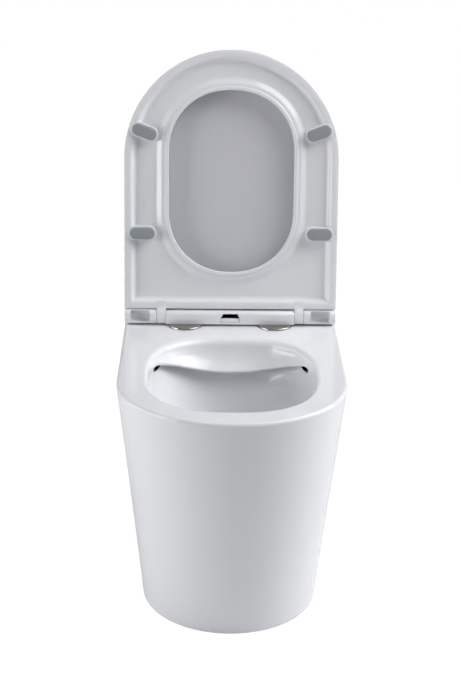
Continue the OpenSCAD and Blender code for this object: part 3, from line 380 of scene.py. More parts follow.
def d_ring(a, b, middle, back, z, corner):
    """A D: nose of half width a and length b about y = middle, flat back, round corners."""
    turn = np.radians(90 * share(CORNER_STEPS))
    x = np.concatenate([a * np.sin(nose_turn), np.full(SIDE_STEPS, a),
                        a - corner + corner * np.cos(turn),
                        (a - corner) * (1 - share(BACK_STEPS))])
    y = np.concatenate([middle - b * np.cos(nose_turn),
                        middle + (back - corner - middle) * share(SIDE_STEPS),
                        back - corner + corner * np.sin(turn), np.full(BACK_STEPS, back)])
    return whole(x, y, z)


def oval(a, front, back, squareness, z):
    """A squarish oval of half width a from y = front to y = back."""
    middle, b = (front + back) / 2, (back - front) / 2
    return whole(a * squared(np.sin(spoke_turn), squareness),
                 middle - b * squared(np.cos(spoke_turn), squareness), z)


def slot_ring(r, front_middle, back_middle, squareness, z):
    """A slot: squarish round ends of radius r about y = front_middle and y = back_middle."""
    middle = np.concatenate([np.full(NOSE_STEPS + 1, front_middle),
                             front_middle + (back_middle - front_middle) * share(SIDE_STEPS),
                             np.full(CORNER_STEPS + BACK_STEPS, back_middle)])
    return whole(r * squared(np.sin(slot_turn), squareness),
                 middle - r * squared(np.cos(slot_turn), squareness), z)


print("each ring has", len(oval(1, 0, 1, 2, 0)), "points")

# %% [markdown]
# ## From ring to ring
# Between two rings a surface can run straight, round a corner or along a soft sweep. Because rings
# are arrays of the same length, each of these is a sum of whole rings with weights that add up to
# 1: no point is worked out on its own.

# %% From ring to ring
def part_way(low, high, s):
    """The size or ring that lies the share s of the way from low to high."""
    return low + (high - low) * s


def straight(start, end, shares=(0.04, 0.25, 0.5, 0.75, 0.96)):
    """Rings on the straight way between two rings; those near its ends keep flat faces flat."""
    return [part_way(start, end, s) for s in shares]


def rounded(start, corner, end, steps):
    """Rings round a quarter ellipse from start to end.

    Each is corner + (start - corner) (1 - sin t) + (end - corner) (1 - cos t), t from 0 to 90.
    """
    return [corner + (start - corner) * (1 - math.sin(t)) + (end - corner) * (1 - math.cos(t))
            for t in np.radians(np.linspace(0, 90, steps + 1))]


def swept(start, control, end, steps):
    """Rings on a parabola that leaves start towards control and reaches end from control."""
    return [start * (1 - s) ** 2 + control * 2 * s * (1 - s) + end * s * s
            for s in np.linspace(0, 1, steps + 1)]


print("a corner in 4 steps:", [round(float(v), 2) for v in rounded(0, 1, 2, 4)])

# %% [markdown]
# ## Skins
# A skin joins each ring to the next with four-sided faces, and closes the ends to a point or joins
# the last ring to the first. A closed skin holds a volume, which is the sum over its triangles of
# the small solids between each and the origin. It is negative where the faces point inwards, so it
# also tells whether a mesh has to be turned.

# %% Skins
MM = 0.001


def new_piece(name, points, faces):
    """An object at the origin with its points, given in millimetres, in its mesh."""
    mesh = bpy.data.meshes.new(name)
    mesh.from_pydata((np.asarray(points, float) * MM).tolist(), [], faces)
    mesh.validate()
    piece = bpy.data.objects.new(name, mesh)
    bpy.context.scene.collection.objects.link(piece)
    return piece


def volume(piece):
    """Enclosed volume in cubic metres: the sum over triangles of a . (b x c) / 6."""
    mesh = piece.data
    mesh.calc_loop_triangles()
    points = np.empty(len(mesh.vertices) * 3)
    mesh.vertices.foreach_get("co", points)
    corners = np.empty(len(mesh.loop_triangles) * 3, int)
    mesh.loop_triangles.foreach_get("vertices", corners)
    a, b, c = points.reshape(-1, 3)[corners.reshape(-1, 3)].transpose(1, 0, 2)
    return float(np.einsum("ij,ij->", a, np.cross(b, c)) / 6)


def faced_out(piece):
    """Turns a mesh that is inside out."""
    if volume(piece) < 0:
        piece.data.flip_normals()
    return piece


def skin(name, rings, first=None, last=None):
    """A closed mesh over rings: capped to the points first and last, or else joined in a loop."""
    rings = np.asarray(rings, float)
    count, around = rings.shape[:2]
    steps = count if first is None else count - 1
    k, i = np.meshgrid(np.arange(steps), np.arange(around), indexing="ij")
    after, j = (k + 1) % count, (i + 1) % around
    quads = np.stack([k * around + i, k * around + j, after * around + j, after * around + i], -1)
    faces, points = quads.reshape(-1, 4).tolist(), rings.reshape(-1, 3)
    if first is not None:
        base, i = count * around, np.arange(around)
        j, top = (i + 1) % around, (count - 1) * around
        faces += np.stack([np.full(around, base), j, i], 1).tolist()
        faces += np.stack([np.full(around, base + 1), top + i, top + j], 1).tolist()
        points = np.concatenate([points, [first, last]])
    return new_piece(name, points, faces)


print("points are given in mm and kept in m, so each is multiplied by", MM)

# %% [markdown]
# ## Rods, balls and prisms
# Pipes, bolts' holes and bends are circles carried along a line, so they are skins as well. A lug
# or an ear is a side view carried across, which is a prism. These are tools more than pieces: they
# are joined to a skin or cut out of it.

# %% Rods, balls and prisms
BALL_CAP = 6        # degrees from a ball's pole to its first circle


def circle_rings(start, end, radii, places, sides):
    """Circles of these radii at these shares of the way from start to end, square to it."""
    start, end = np.asarray(start, float), np.asarray(end, float)
    way = (end - start) / np.linalg.norm(end - start)
    across = np.cross(way, (1, 0, 0) if abs(way[0]) < 0.9 else (0, 0, 1))
    across /= np.linalg.norm(across)
    third = np.cross(way, across)
    turn = np.linspace(0, 2 * math.pi, sides, endpoint=False)[:, None]
    circle = across * np.cos(turn) + third * np.sin(turn)
    return [start + (end - start) * s + circle * r for r, s in zip(radii, places)]


def rod(start, end, radius, sides=64):
    """A round rod from start to end."""
    return skin("rod", circle_rings(start, end, (radius, radius), (0, 1), sides), start, end)


def ball(centre, radius):
    """A sphere: circles whose radii follow a sine from pole to pole."""
    centre = np.asarray(centre, float)
    turns = np.radians(np.linspace(BALL_CAP, 180 - BALL_CAP, 29))
    low, high = centre - (0, 0, radius), centre + (0, 0, radius)
    rings = circle_rings(low, high, radius * np.sin(turns), (1 - np.cos(turns)) / 2, 64)
    return skin("ball", rings, low, high)


def prism(outline, low, high, axis):
    """A prism: an outline of pairs, carried along axis (0 is X, 1 is Y) from low to high."""
    flat = np.asarray(outline, float)
    ends = [np.insert(flat, axis, level, axis=1) for level in (low, high)]
    n = len(flat)
    i = np.arange(n)
    j = (i + 1) % n
    faces = np.stack([i, j, n + j, n + i], 1).tolist() + [i[::-1].tolist(), (n + i).tolist()]
    return faced_out(new_piece("prism", np.concatenate(ends), faces))


trial = ball((0, 0, 0), 10)
print("a ball of radius 10 mm holds", round(volume(trial) * 1e6, 2), "ml, and 4.19 by the formula")
bpy.data.objects.remove(trial)

# %% [markdown]
# ## Joins, cuts and soft edges
# Where two forms meet, a Boolean modifier joins or cuts them. Its Manifold solver is quick and
# keeps closed meshes closed. The modifier is applied at once, so what is kept is plain mesh and
# the tool can go. A Bevel modifier rounds edges in the same way: no moulding has a sharp one.

# %% Joins, cuts and soft edges
LEAST_POINTS = 4        # of the simplest closed mesh


def applied(piece):
    """Replaces a piece's mesh by what its modifiers make of it."""
    graph = bpy.context.evaluated_depsgraph_get()
    made = bpy.data.meshes.new_from_object(piece.evaluated_get(graph))
    piece.modifiers.clear()
    piece.data = made
    return piece


def merge(piece, tool, operation):
    """UNION joins the tool to the piece, DIFFERENCE cuts it away; the tool goes."""
    change = piece.modifiers.new("merge", "BOOLEAN")
    change.operation, change.solver, change.object = operation, "MANIFOLD", tool
    applied(piece)
    if len(piece.data.vertices) < LEAST_POINTS:
        raise RuntimeError(f"{operation} of {tool.name} emptied {piece.name}")
    bpy.data.objects.remove(tool)


def join(piece, *tools):
    """Joins each tool to the piece in turn."""
    for tool in tools:
        merge(piece, tool, "UNION")
    return piece


def cut(piece, *tools):
    """Cuts each tool out of the piece in turn."""
    for tool in tools:
        merge(piece, tool, "DIFFERENCE")
    return piece


def softened(piece, width, angle, segments=3):
    """Rounds the edges sharper than angle by width millimetres."""
    bevel = piece.modifiers.new("soft edges", "BEVEL")
    bevel.width, bevel.segments, bevel.limit_method = width * MM, segments, "ANGLE"
    bevel.angle_limit, bevel.harden_normals = math.radians(angle), False
    return applied(piece)


trial = cut(rod((0, 0, 0), (0, 0, 20), 10), rod((0, 0, -1), (0, 0, 21), 5))
print("a bored rod holds", round(volume(trial) * 1e6, 2), "ml, and 4.71 by the formula")
bpy.data.objects.remove(trial)

# %% [markdown]
# ## Handing a piece over
# A finished piece is named, smoothed where its faces meet gently, and given its material. Then it
# is attached to the body that it moves with, and the CAD node that it stands for is hidden, and
# stays for collision.

# %% Handing a piece over
def finished(piece, name, body, material, node, smooth=38):
    """Names a piece, smooths it up to that angle, gives it its material and body, and hides its CAD
    node.
    """
    piece.name = piece.data.name = name
    piece.data.shade_smooth()
    piece.data.set_sharp_from_angle(angle=math.radians(smooth))
    piece.data.materials.clear()
    piece.data.materials.append(material)
    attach(piece, body)
    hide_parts(node)
    print(name, len(piece.data.polygons), "faces,", round(volume(piece) * 1e6, 1), "ml")


# %% [markdown]
# ## The pan's sizes
# The packed pan gives the length, the width and the height, and what the packed box can't tell is
# listed here: the foot, which is narrower and set back, the walls, the bowl, the flush hood that
# hangs over its back in a soft curve, the chamber behind the hood, and the sump.

# %% Pan sizes
pan_low, pan_high = (np.array(corner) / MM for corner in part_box("pan"))
PAN_W, PAN_H = pan_high[0] - pan_low[0], pan_high[2]
FRONT, WALL = pan_low[1], pan_high[1]
FOOT_A, FOOT_NOSE, FOOT_SETBACK = 144, 154, 87      # half width, nose, way back from the front
RIM_A, RIM_EDGE, RIM_EDGE_Z = PAN_W / 2, 4.5, PAN_H - 5.5
RIM_NOSE_Y, FOOT_NOSE_Y = FRONT + RIM_A, FRONT + FOOT_SETBACK + FOOT_NOSE
SKIRT_POWER = 1.04
WALL_T, DECK_T, FILLET = 11, 18, 8
RIM_FRONT_W, DECK_L = 53, 176
BOWL_A, BOWL_FRONT, BOWL_BACK = 134.5, FRONT + RIM_FRONT_W, WALL - DECK_L
BOWL_Y = (BOWL_FRONT + BOWL_BACK) / 2
BOWL_SQUARE, BOWL_POWER, BOWL_EDGE = 2.55, 0.62, 7
HOOD_REACH, HOOD_LIP = 25, 10                       # over the bowl, and the lip's thickness
HOOD_DROP, HOOD_END_DROP = 56, 17                   # at the middle of the back, and at its ends
HOOD_END_TURN, HOOD_POWER = 114, 0.6
CHAMBER_BACK, CHAMBER_DROP = 14, 32
SUMP_R, SUMP_Y, SUMP_FLOOR, SUMP_TOP = 50, BOWL_Y + 51, 96, 190
SHOULDER = PAN_H - 46
print("pan", round(PAN_W), "x", round(WALL - FRONT), "x", round(PAN_H), "mm, bowl middle", BOWL_Y)

# %% [markdown]
# ## The pan's rings
# Four families of rings make the pan: the skirt's D, which widens with height, the bowl's opening,
# which sags at the back where the hood hangs, the bowl, which closes to the sump, and the sump's
# circle. The hood's share is none at the front and whole at the middle of the back. Between them
# an S-curve would do, but the photograph's edge leaves its ends faster, so the S is raised to a
# power.

# %% Pan rings
def pan_ring(z, inset=0.0, back_inset=0.0):
    """The skirt's D at height z; from foot to rim it grows as height to SKIRT_POWER."""
    s = min(z / RIM_EDGE_Z, 1) ** SKIRT_POWER
    return d_ring(part_way(FOOT_A, RIM_A, s) - inset, part_way(FOOT_NOSE, RIM_A, s) - inset,
                  part_way(FOOT_NOSE_Y, RIM_NOSE_Y, s), WALL - back_inset, z, corner=3)


hood_part = np.clip((np.degrees(spoke_turn) - HOOD_END_TURN) / (180 - HOOD_END_TURN), 0, 1)
hood_part = (hood_part ** 2 * (3 - 2 * hood_part)) ** HOOD_POWER


def opening_ring(grow, hood_grow, drop, hood_drop):
    """The bowl's opening, grown by grow and dropped below the deck, and by more along the hood."""
    a, b = BOWL_A + grow, (BOWL_BACK - BOWL_FRONT) / 2 + grow
    sine, cosine = np.sin(spoke_turn), np.cos(spoke_turn)
    x = a * squared(sine, BOWL_SQUARE) + hood_grow * hood_part * sine
    y = BOWL_Y - b * squared(cosine, BOWL_SQUARE) - hood_grow * hood_part * cosine
    return whole(x, y, PAN_H - drop - hood_drop * hood_part)


def bowl_ring(u, grow=0.0):
    """The bowl at the share u of its height over the sump; it opens as u to BOWL_POWER."""
    s, r = u ** BOWL_POWER, SUMP_R + 1
    return oval(part_way(r, BOWL_A, s) + grow, part_way(SUMP_Y - r, BOWL_FRONT, s) - grow,
                part_way(SUMP_Y + r, BOWL_BACK, s) + grow, part_way(2, BOWL_SQUARE, s),
                part_way(SUMP_TOP, SHOULDER, u))


def sump_ring(r, z):
    """A circle about the sump's middle at height z."""
    return oval(r, SUMP_Y - r, SUMP_Y + r, 2, z)


print("the hood takes", int((hood_part > 0).sum()), "of", len(hood_part), "points of a half ring")

# %% [markdown]
# ## The pan's skin
# The pan is cast in one piece, and one skin can follow it all: up the outside of the sump, under
# the bowl and the deck, down the inside of the skirt, under the foot, up the outside, round the
# rim's edge, over the deck, down under the flush hood and down the bowl to the floor of the sump.
# It could be joined from shells, but then each meeting edge would need its own rounding. Here
# quarter ellipses run round every edge, as the glaze does.

# %% Underside and skirt
SUMP_OUT, SUMP_EDGE, SUMP_NECK = SUMP_R + WALL_T, 6, SUMP_TOP - 12
UNDER_SUMP, UNDER_DECK = SUMP_FLOOR - WALL_T, PAN_H - DECK_T
FOOT_EDGE, FOOT_EDGE_H = 4, 5
bowl_levels = np.array([0.61, 0.52, 0.43, 0.35, 0.27, 0.2, 0.14, 0.09, 0.055, 0.03])

underside_rings = (
    rounded(sump_ring(SUMP_OUT - SUMP_EDGE, UNDER_SUMP), sump_ring(SUMP_OUT, UNDER_SUMP),
            sump_ring(SUMP_OUT, UNDER_SUMP + SUMP_EDGE), 4)
    + [sump_ring(SUMP_OUT, SUMP_NECK)]
    + [bowl_ring(u, WALL_T) for u in (*bowl_levels[::-1], 0.7, 0.78, 0.86)]
    + [opening_ring(WALL_T, CHAMBER_BACK, 62, 24)]
    + rounded(opening_ring(WALL_T, CHAMBER_BACK, DECK_T + FILLET, 0),
              opening_ring(WALL_T, CHAMBER_BACK, DECK_T, 0),
              opening_ring(WALL_T + FILLET, CHAMBER_BACK, DECK_T, 0), 4)
)
skirt_rings = (
    rounded(pan_ring(UNDER_DECK, WALL_T + FILLET, WALL_T + FILLET),
            pan_ring(UNDER_DECK, WALL_T, WALL_T), pan_ring(UNDER_DECK - FILLET, WALL_T, WALL_T), 4)
    + [pan_ring(z, WALL_T, WALL_T) for z in (330, 260, 180, 100, 30)]
    + [pan_ring(0, WALL_T + 3, WALL_T + 3)]
    + rounded(pan_ring(0, FOOT_EDGE), pan_ring(0, 0.5), pan_ring(FOOT_EDGE_H), 5)
    + [pan_ring(z) for z in np.linspace(8, RIM_EDGE_Z - 3, 22)]
    + rounded(pan_ring(RIM_EDGE_Z), pan_ring(PAN_H), pan_ring(PAN_H, RIM_EDGE, RIM_EDGE), 9)
)
print("underside", len(underside_rings), "rings, skirt", len(skirt_rings))

# %% [markdown]
# ## Deck, hood and bowl
# From the deck the skin turns down into the opening, hangs to the hood's lip, goes round the lip
# and back up to the roof of the flush chamber, then down its rear wall into the bowl. Each line
# below is an opening ring that says how far it is grown and dropped, all round and more at the
# hood. Where there is no hood, the same rings lie close together and make the plain wall under the
# rim.

# %% Deck, hood and bowl
HOOD_SAG, CHAMBER_SAG = HOOD_DROP - HOOD_END_DROP, CHAMBER_DROP - HOOD_END_DROP
HOOD_TURN_AT, SUMP_FILLET = 0.62, 18
edge_top, edge_low = opening_ring(BOWL_EDGE, 8, 0, 0), opening_ring(0, -1, BOWL_EDGE, 8)
hood_turn = opening_ring(-1.2, -4, HOOD_END_DROP * HOOD_TURN_AT, HOOD_SAG * HOOD_TURN_AT)
lip_front = opening_ring(-2, 4 - HOOD_REACH, HOOD_END_DROP - 3, HOOD_SAG - 5)
lip_tip = lip_front + (lip_front - hood_turn) * 0.35
lip_low = opening_ring(-2.5, 6 - HOOD_REACH, HOOD_END_DROP + 2, HOOD_SAG - 3)
lip_back = opening_ring(-1, 1 - HOOD_REACH + HOOD_LIP, HOOD_END_DROP + 4, HOOD_SAG - 5)
roof_front = opening_ring(2, 3, HOOD_END_DROP + 6, CHAMBER_SAG - 6)
roof_back = opening_ring(2.5, CHAMBER_BACK - 2, HOOD_END_DROP + 8, CHAMBER_SAG - 8)
under_roof = part_way(roof_back, opening_ring(0, CHAMBER_BACK * 0.6, 46, 22), 0.3)

hood_rings = (
    straight(pan_ring(PAN_H, RIM_EDGE, RIM_EDGE), edge_top, (0.02, 0.1, 0.3, 0.5, 0.7, 0.9, 0.98))
    + rounded(edge_top, opening_ring(0, 0, 0, 0), edge_low, 8)
    + swept(edge_low, hood_turn, lip_front, 9)[1:]
    + swept(lip_front, lip_tip, lip_low, 7)[1:]
    + straight(lip_low, lip_back, (0.5, 1))
    + rounded(part_way(lip_back, roof_front, 0.7), roof_front,
              part_way(roof_front, roof_back, 0.2), 4)
    + rounded(part_way(roof_front, roof_back, 0.75), roof_back, under_roof, 4)
)
bowl_rings = (
    swept(under_roof, bowl_ring(1), bowl_ring(0.7), 12)[1:]
    + [bowl_ring(u) for u in bowl_levels]
    + rounded(bowl_ring(0.018), sump_ring(SUMP_R, SUMP_TOP + 1), sump_ring(SUMP_R, SUMP_NECK), 6)
    + [sump_ring(SUMP_R, z) for z in (160, 140)]
    + rounded(sump_ring(SUMP_R, SUMP_FLOOR + SUMP_FILLET), sump_ring(SUMP_R, SUMP_FLOOR),
              sump_ring(SUMP_R - SUMP_FILLET, SUMP_FLOOR), 6)
)
pan = skin("pan_shell", underside_rings + skirt_rings + hood_rings + bowl_rings,
           (0, SUMP_Y, UNDER_SUMP), (0, SUMP_Y, SUMP_FLOOR))
print("pan skin:", round(volume(pan) * 1e3, 2), "litres of clay")

# %% [markdown]
# ## Waterways
# Behind the bowl the trapway climbs over its weir and drops to the waste spigot, and the flush
# inlet stands above it. They are rods with balls at the bends. The outside is joined to the skin
# first, and then the inside is bored, so that every wall comes out even.

# %% Waterways
OVER = 1        # how far a cutting tool reaches past what it cuts
TRAP_R, SPIGOT_R, SPIGOT_BORE_R, INLET_R = 33, 51, 42, 27.5
OUTLET_Z, OUTLET_END, SPIGOT_L = 180, WALL - 55, 43
INLET_Z, INLET_END = 338, WALL - 62
DIP_Z, WEIR_RISE = SUMP_FLOOR + TRAP_R + 4, 2 * TRAP_R + 50
WEIR_AT, DROP_AT = 2.66, 3.44       # bends behind the sump, in radii of the trap
BEND_FULL = 1.012                   # how much wider a bend's ball is than its rods
sump_back = SUMP_Y + SUMP_R
trap_points = [(0, SUMP_Y, DIP_Z), (0, sump_back + TRAP_R, DIP_Z),
               (0, sump_back + TRAP_R * WEIR_AT, DIP_Z + WEIR_RISE),
               (0, sump_back + TRAP_R * DROP_AT, OUTLET_Z),
               (0, OUTLET_END - SPIGOT_L * 0.6, OUTLET_Z)]
spigot_start, chamber_wall = OUTLET_END - SPIGOT_L, BOWL_BACK + CHAMBER_BACK


def bent_pipe(points, radius):
    """Rods from point to point, with a ball at each bend."""
    pipe = rod(points[0], points[1], radius)
    for start, end in zip(points[1:-1], points[2:]):
        join(pipe, ball(start, radius * BEND_FULL), rod(start, end, radius))
    return pipe


trap = cut(bent_pipe(trap_points, TRAP_R + WALL_T),
           rod((0, SUMP_Y, SUMP_FLOOR - 9), (0, SUMP_Y, 320), SUMP_R + 0.4, sides=128))
join(pan, trap, rod((0, spigot_start, OUTLET_Z), (0, OUTLET_END, OUTLET_Z), SPIGOT_R),
     rod((0, chamber_wall + WALL_T / 2, INLET_Z), (0, INLET_END, INLET_Z), INLET_R + WALL_T))
cut(pan, bent_pipe(trap_points, TRAP_R),
    rod((0, spigot_start + WALL_T + 2, OUTLET_Z), (0, OUTLET_END + OVER, OUTLET_Z), SPIGOT_BORE_R),
    rod((0, BOWL_BACK + 4, INLET_Z), (0, INLET_END + OVER, INLET_Z), INLET_R))
print("with its waterways:", round(volume(pan) * 1e3, 2), "litres of clay")

# %% [markdown]
# ## Holes, jets and the open back
# The wall behind is left open, so that a fitter can reach the pipes. The two seat bolts, the two
# side screws and the two flush jets have their holes. The jets lie at the hood's ends and show as
# small black marks, which are shade. A mask finds the points inside them by their distance from the
# jet's axis and paints that shade near black.

# %% Holes, jets and the open back
JET_R, JET_X, JET_LEAN, JET_Y, JET_Z = 5.2, 121.8, 1, (19, 60), PAN_H - HOOD_END_DROP - 10.5
JET_MARGIN = 0.7
FIXING_X, FIXING_Y, FIXING_R = 77.5, 170.4, 7.5
SCREW_R, SCREW_Y, SCREW_Z = 4.5, WALL - 90, 62
BACK_SIDE, BACK_TOP, BACK_T = 22, PAN_H - DECK_T - 10, WALL_T + 5
back_outline = [(-FOOT_A + BACK_SIDE, -OVER), (FOOT_A - BACK_SIDE, -OVER),
                (RIM_A - BACK_SIDE, BACK_TOP), (-RIM_A + BACK_SIDE, BACK_TOP)]
cut(pan, prism(back_outline, WALL - BACK_T, WALL + OVER, 1))
for side in (1, -1):
    cut(pan,
        rod((side * JET_X, JET_Y[0], JET_Z), (side * (JET_X + JET_LEAN), JET_Y[1], JET_Z),
            JET_R, sides=40),
        rod((side * FIXING_X, FIXING_Y, UNDER_DECK - OVER),
            (side * FIXING_X, FIXING_Y, PAN_H + OVER), FIXING_R),
        rod((side * (FOOT_A - BACK_SIDE), SCREW_Y, SCREW_Z), (side * RIM_A, SCREW_Y, SCREW_Z),
            SCREW_R, sides=40))


def painted_jet_shade(finish):
    """Painted shade: 1 inside the two jets, the points near their axis, which lies along Y, and
    between ends.
    """
    x, y, z = finish.parts(finish.place())
    x, z = abs(x) - (JET_X + JET_LEAN / 2) * MM, z - JET_Z * MM
    near_axis = x * x + z * z < ((JET_R + JET_MARGIN) * MM) ** 2
    return near_axis * (y > JET_Y[0] * MM) * (y < (JET_Y[1] + OVER) * MM)


# The glaze gets painted shade inside the jets.
glazed_ceramic = glossy_white("glazed_ceramic", low=(0.815, 0.825, 0.85),
                              high=(0.845, 0.855, 0.88), rough=0.07, peel_size=0.006,
                              peel_height=0.00002, dark=painted_jet_shade)
finished(pan, "pan_shell", "pan", glazed_ceramic, "pan")

# %% [markdown]
# ## The raised seat
# The seat is drawn closed, about its hinge, as its maker would draw it: y is minus the distance
# from the hinge and z the height over it. Then it is turned to where the photograph has it,
# leaning back a little against the cover. The photograph shows its underside: a narrow land round
# the hole, a small step, a soft slope up to a shallow channel, and a flange all round. A
# subdivided box would give a softer guess at this, while rings follow the section as it was
# measured. They go once round it and meet, so the skin is closed without a cap.

# %% Seat rings
HINGE_Y, HINGE_Z = 176, 414
RAISE = math.radians(98)
SEAT_A, SEAT_TIP = 183, 456.5
NOSE_AT = SEAT_TIP - SEAT_A
SEAT_TOP, SEAT_LOW, SEAT_REAR, CHANNEL = 9.2, -8, 15, 1.5
HOLE_R, HOLE_FRONT, HOLE_BACK, HOLE_SQUARE = 107, 390, 79, 2.15


def raise_piece(piece):
    """Turns a closed piece's mesh about X to the raised place, then takes it to the hinge."""
    turn = Matrix.Rotation(-RAISE, 4, "X")
    piece.data.transform(Matrix.Translation((0, HINGE_Y * MM, HINGE_Z * MM)) @ turn)


def seat_outer(inset, t, rear_inset=None):
    """The seat's outer D, drawn in by inset, at height t; its rear may be drawn in less."""
    rear = SEAT_REAR + (inset if rear_inset is None else rear_inset)
    return d_ring(SEAT_A - inset, SEAT_A - inset, -NOSE_AT, -rear, t, corner=3)


def seat_inner(grow, t):
    """The seat's hole, grown by grow, at height t over the hinge."""
    return slot_ring(HOLE_R + grow, -(HOLE_FRONT - HOLE_R), -(HOLE_BACK + HOLE_R), HOLE_SQUARE, t)


# Heights of the flat land round the hole, and of the step beyond it.
LAND, STEP = SEAT_LOW + 1, SEAT_LOW + 2.4
# Each call gives a point of the seat's section: how far in from its outline or out from its hole,
# and how high. The order is up the outside, over the top, down the hole and back underneath.
seat_rings = (
    rounded(seat_outer(1.5, SEAT_LOW, 0.4), seat_outer(0, SEAT_LOW),
            seat_outer(0, SEAT_LOW + 1.5), 4)
    + [seat_outer(0, SEAT_LOW + 5)]
    + rounded(seat_outer(0, SEAT_TOP - 6), seat_outer(0, SEAT_TOP), seat_outer(12, SEAT_TOP), 9)
    + straight(seat_outer(12, SEAT_TOP), seat_inner(14, SEAT_TOP - 0.2), (0.1, 0.5, 0.9))
    + rounded(seat_inner(14, SEAT_TOP - 0.2), seat_inner(0, SEAT_TOP - 0.4),
              seat_inner(0, SEAT_TOP - 10), 9)
    + rounded(seat_inner(0, SEAT_LOW + 2.5), seat_inner(0, LAND), seat_inner(1.5, LAND), 4)
    + [seat_inner(3.5, LAND)]
    + rounded(seat_inner(5.2, LAND), seat_inner(6.3, LAND), seat_inner(6.7, STEP), 4)
    + swept(seat_inner(7.2, SEAT_LOW + 2.6), seat_inner(11.5, STEP),
            seat_inner(14.5, SEAT_LOW + 4.4), 6)
    + swept(seat_inner(20, SEAT_LOW + 8.1), seat_inner(22, CHANNEL), seat_inner(38, CHANNEL), 9)
    + straight(seat_inner(38, CHANNEL), seat_outer(24, CHANNEL), (0.2, 0.5, 0.8))
    + rounded(seat_outer(22, CHANNEL), seat_outer(17.6, CHANNEL),
              seat_outer(15.2, CHANNEL - 4.5), 6)
    + rounded(seat_outer(14.4, CHANNEL - 6), seat_outer(12.6, SEAT_LOW),
              seat_outer(9.5, SEAT_LOW), 5)
)
seat = skin("seat_shell", seat_rings)
print("seat skin:", len(seat_rings), "rings,", round(volume(seat) * 1e6), "ml")

# %% [markdown]
# ## Arcs and oblongs
# The lugs and the pads' sockets need two more outlines: an arc, and an oblong with round ends that
# can be turned to follow the seat's rim. An oblong block is a skin over such rings, and its lower
# edge can be rounded as moulded plastic and rubber are.

# %% Arcs and oblongs
def arc(centre, radius, start, end, steps):
    """Points on an arc from start to end degrees."""
    turn = np.radians(np.linspace(start, end, steps + 1))
    return np.stack([centre[0] + radius * np.cos(turn), centre[1] + radius * np.sin(turn)], 1)


def oblong_ring(length, width, z, at):
    """An oblong with round ends about at = (x, distance, turn), at height z."""
    middle = (length - width) / 2
    ends = np.concatenate([arc((middle, 0), width / 2, -90, 90, 24),
                           arc((-middle, 0), width / 2, 90, 270, 24)])
    turn = math.radians(-at[2])
    x = ends[:, 0] * math.cos(turn) - ends[:, 1] * math.sin(turn) + at[0]
    y = ends[:, 0] * math.sin(turn) + ends[:, 1] * math.cos(turn) - at[1]
    return np.stack([x, y, np.full(len(x), z)], 1)


def oblong_block(length, width, low, high, at, soft=0.0):
    """A closed oblong block whose lower edge may be rounded by soft."""
    def size(inset, z):
        """The block's outline, drawn in by inset, at height z."""
        return oblong_ring(length - 2 * inset, width - 2 * inset, z, at)

    rings = [size(0, low)]
    if soft:
        rings = rounded(size(soft, low), size(0, low), size(0, low + soft), 5)
    return skin("oblong", rings + [size(0, high)], (at[0], -at[1], low), (at[0], -at[1], high))


def mirrored(at, side):
    """The same place on the other side."""
    return (at[0] * side, at[1], at[2] * side)


def flatted(x0, x1, radius, flat):
    """A rod along X with two flats."""
    turn = np.radians(np.arange(0, 360, 7.5))
    outline = np.stack([np.cos(turn) * radius, np.clip(np.sin(turn) * radius, -flat, flat)], 1)
    return prism(outline, x0, x1, 0)


print("an oblong has", len(oblong_ring(2, 1, 0, (0, 0, 0))), "points")

# %% [markdown]
# ## Lugs and pad sockets on the seat
# Two lugs beside the hinge bar carry the seat. Their side view is a circle about the axis, run out
# to the seat's rear edge. The sockets are oblong collars that stand a little proud of the land,
# each with a recess that holds its pad. Both are rounded before they are joined, because a bevel
# is easiest on a shape that stands alone.

# %% Seat lugs and sockets
BAR_W, SIDE_GAP, LUG_W, KNUCKLE_R = 222, 0.4, 15.3, 12.5
LUG_X = BAR_W / 2 + SIDE_GAP
SHAFT_R, SHAFT_FLAT, BUSH_RIGHT_R = 4, 3, 5.6
PAD_L, PAD_W, SOCKET_WALL, HELD = 43, 20, 2.5, 0.05
SOCKET_PROUD, LUG_EDGE = 1.2, 0.7
SOCKET_LOW, PAD_SEAT = SEAT_LOW - SOCKET_PROUD, SEAT_LOW + 4
LOWER_PAD_IN, LOWER_PAD_Y = 9.5, 146
UPPER_PAD_REACH, UPPER_PAD_TURN, UPPER_PAD_TILT = SEAT_A - PAD_W - 7.8, math.radians(73), 20
pad_places = [(SEAT_A - PAD_L / 2 - LOWER_PAD_IN, LOWER_PAD_Y, 0),
              (UPPER_PAD_REACH * math.sin(UPPER_PAD_TURN),
               NOSE_AT + UPPER_PAD_REACH * math.cos(UPPER_PAD_TURN), UPPER_PAD_TILT)]
lug_outline = np.concatenate([
    arc((0, 0), KNUCKLE_R, -90, 90, 32),
    [(-7, KNUCKLE_R - 2), (-SEAT_REAR - 3, SEAT_TOP - 0.4), (-SEAT_REAR - 14, SEAT_TOP - 2),
     (-SEAT_REAR - 14, SEAT_LOW), (-17, SEAT_LOW), (-13.5, -KNUCKLE_R + 2), (-9, -KNUCKLE_R)]])

for side in (1, -1):
    lug = prism(lug_outline, *sorted((side * LUG_X, side * (LUG_X + LUG_W))), 0)
    join(seat, softened(lug, LUG_EDGE, angle=50))
    for at in pad_places:
        at = mirrored(at, side)
        join(seat, oblong_block(PAD_L + 2 * SOCKET_WALL, PAD_W + 2 * SOCKET_WALL,
                                SOCKET_LOW, CHANNEL + 2, at, soft=SOCKET_PROUD))
        cut(seat, oblong_block(PAD_L + 2 * HELD, PAD_W + 2 * HELD,
                               SOCKET_LOW - OVER, PAD_SEAT, at))
cut(seat,
    flatted(-LUG_X - LUG_W - OVER, -LUG_X + OVER, SHAFT_R + HELD, SHAFT_FLAT + HELD),
    rod((LUG_X - OVER, 0, 0), (LUG_X + LUG_W + OVER, 0, 0), BUSH_RIGHT_R + HELD))
raise_piece(seat)
finished(seat, "seat_shell", "seat", seat_plastic, "seat")

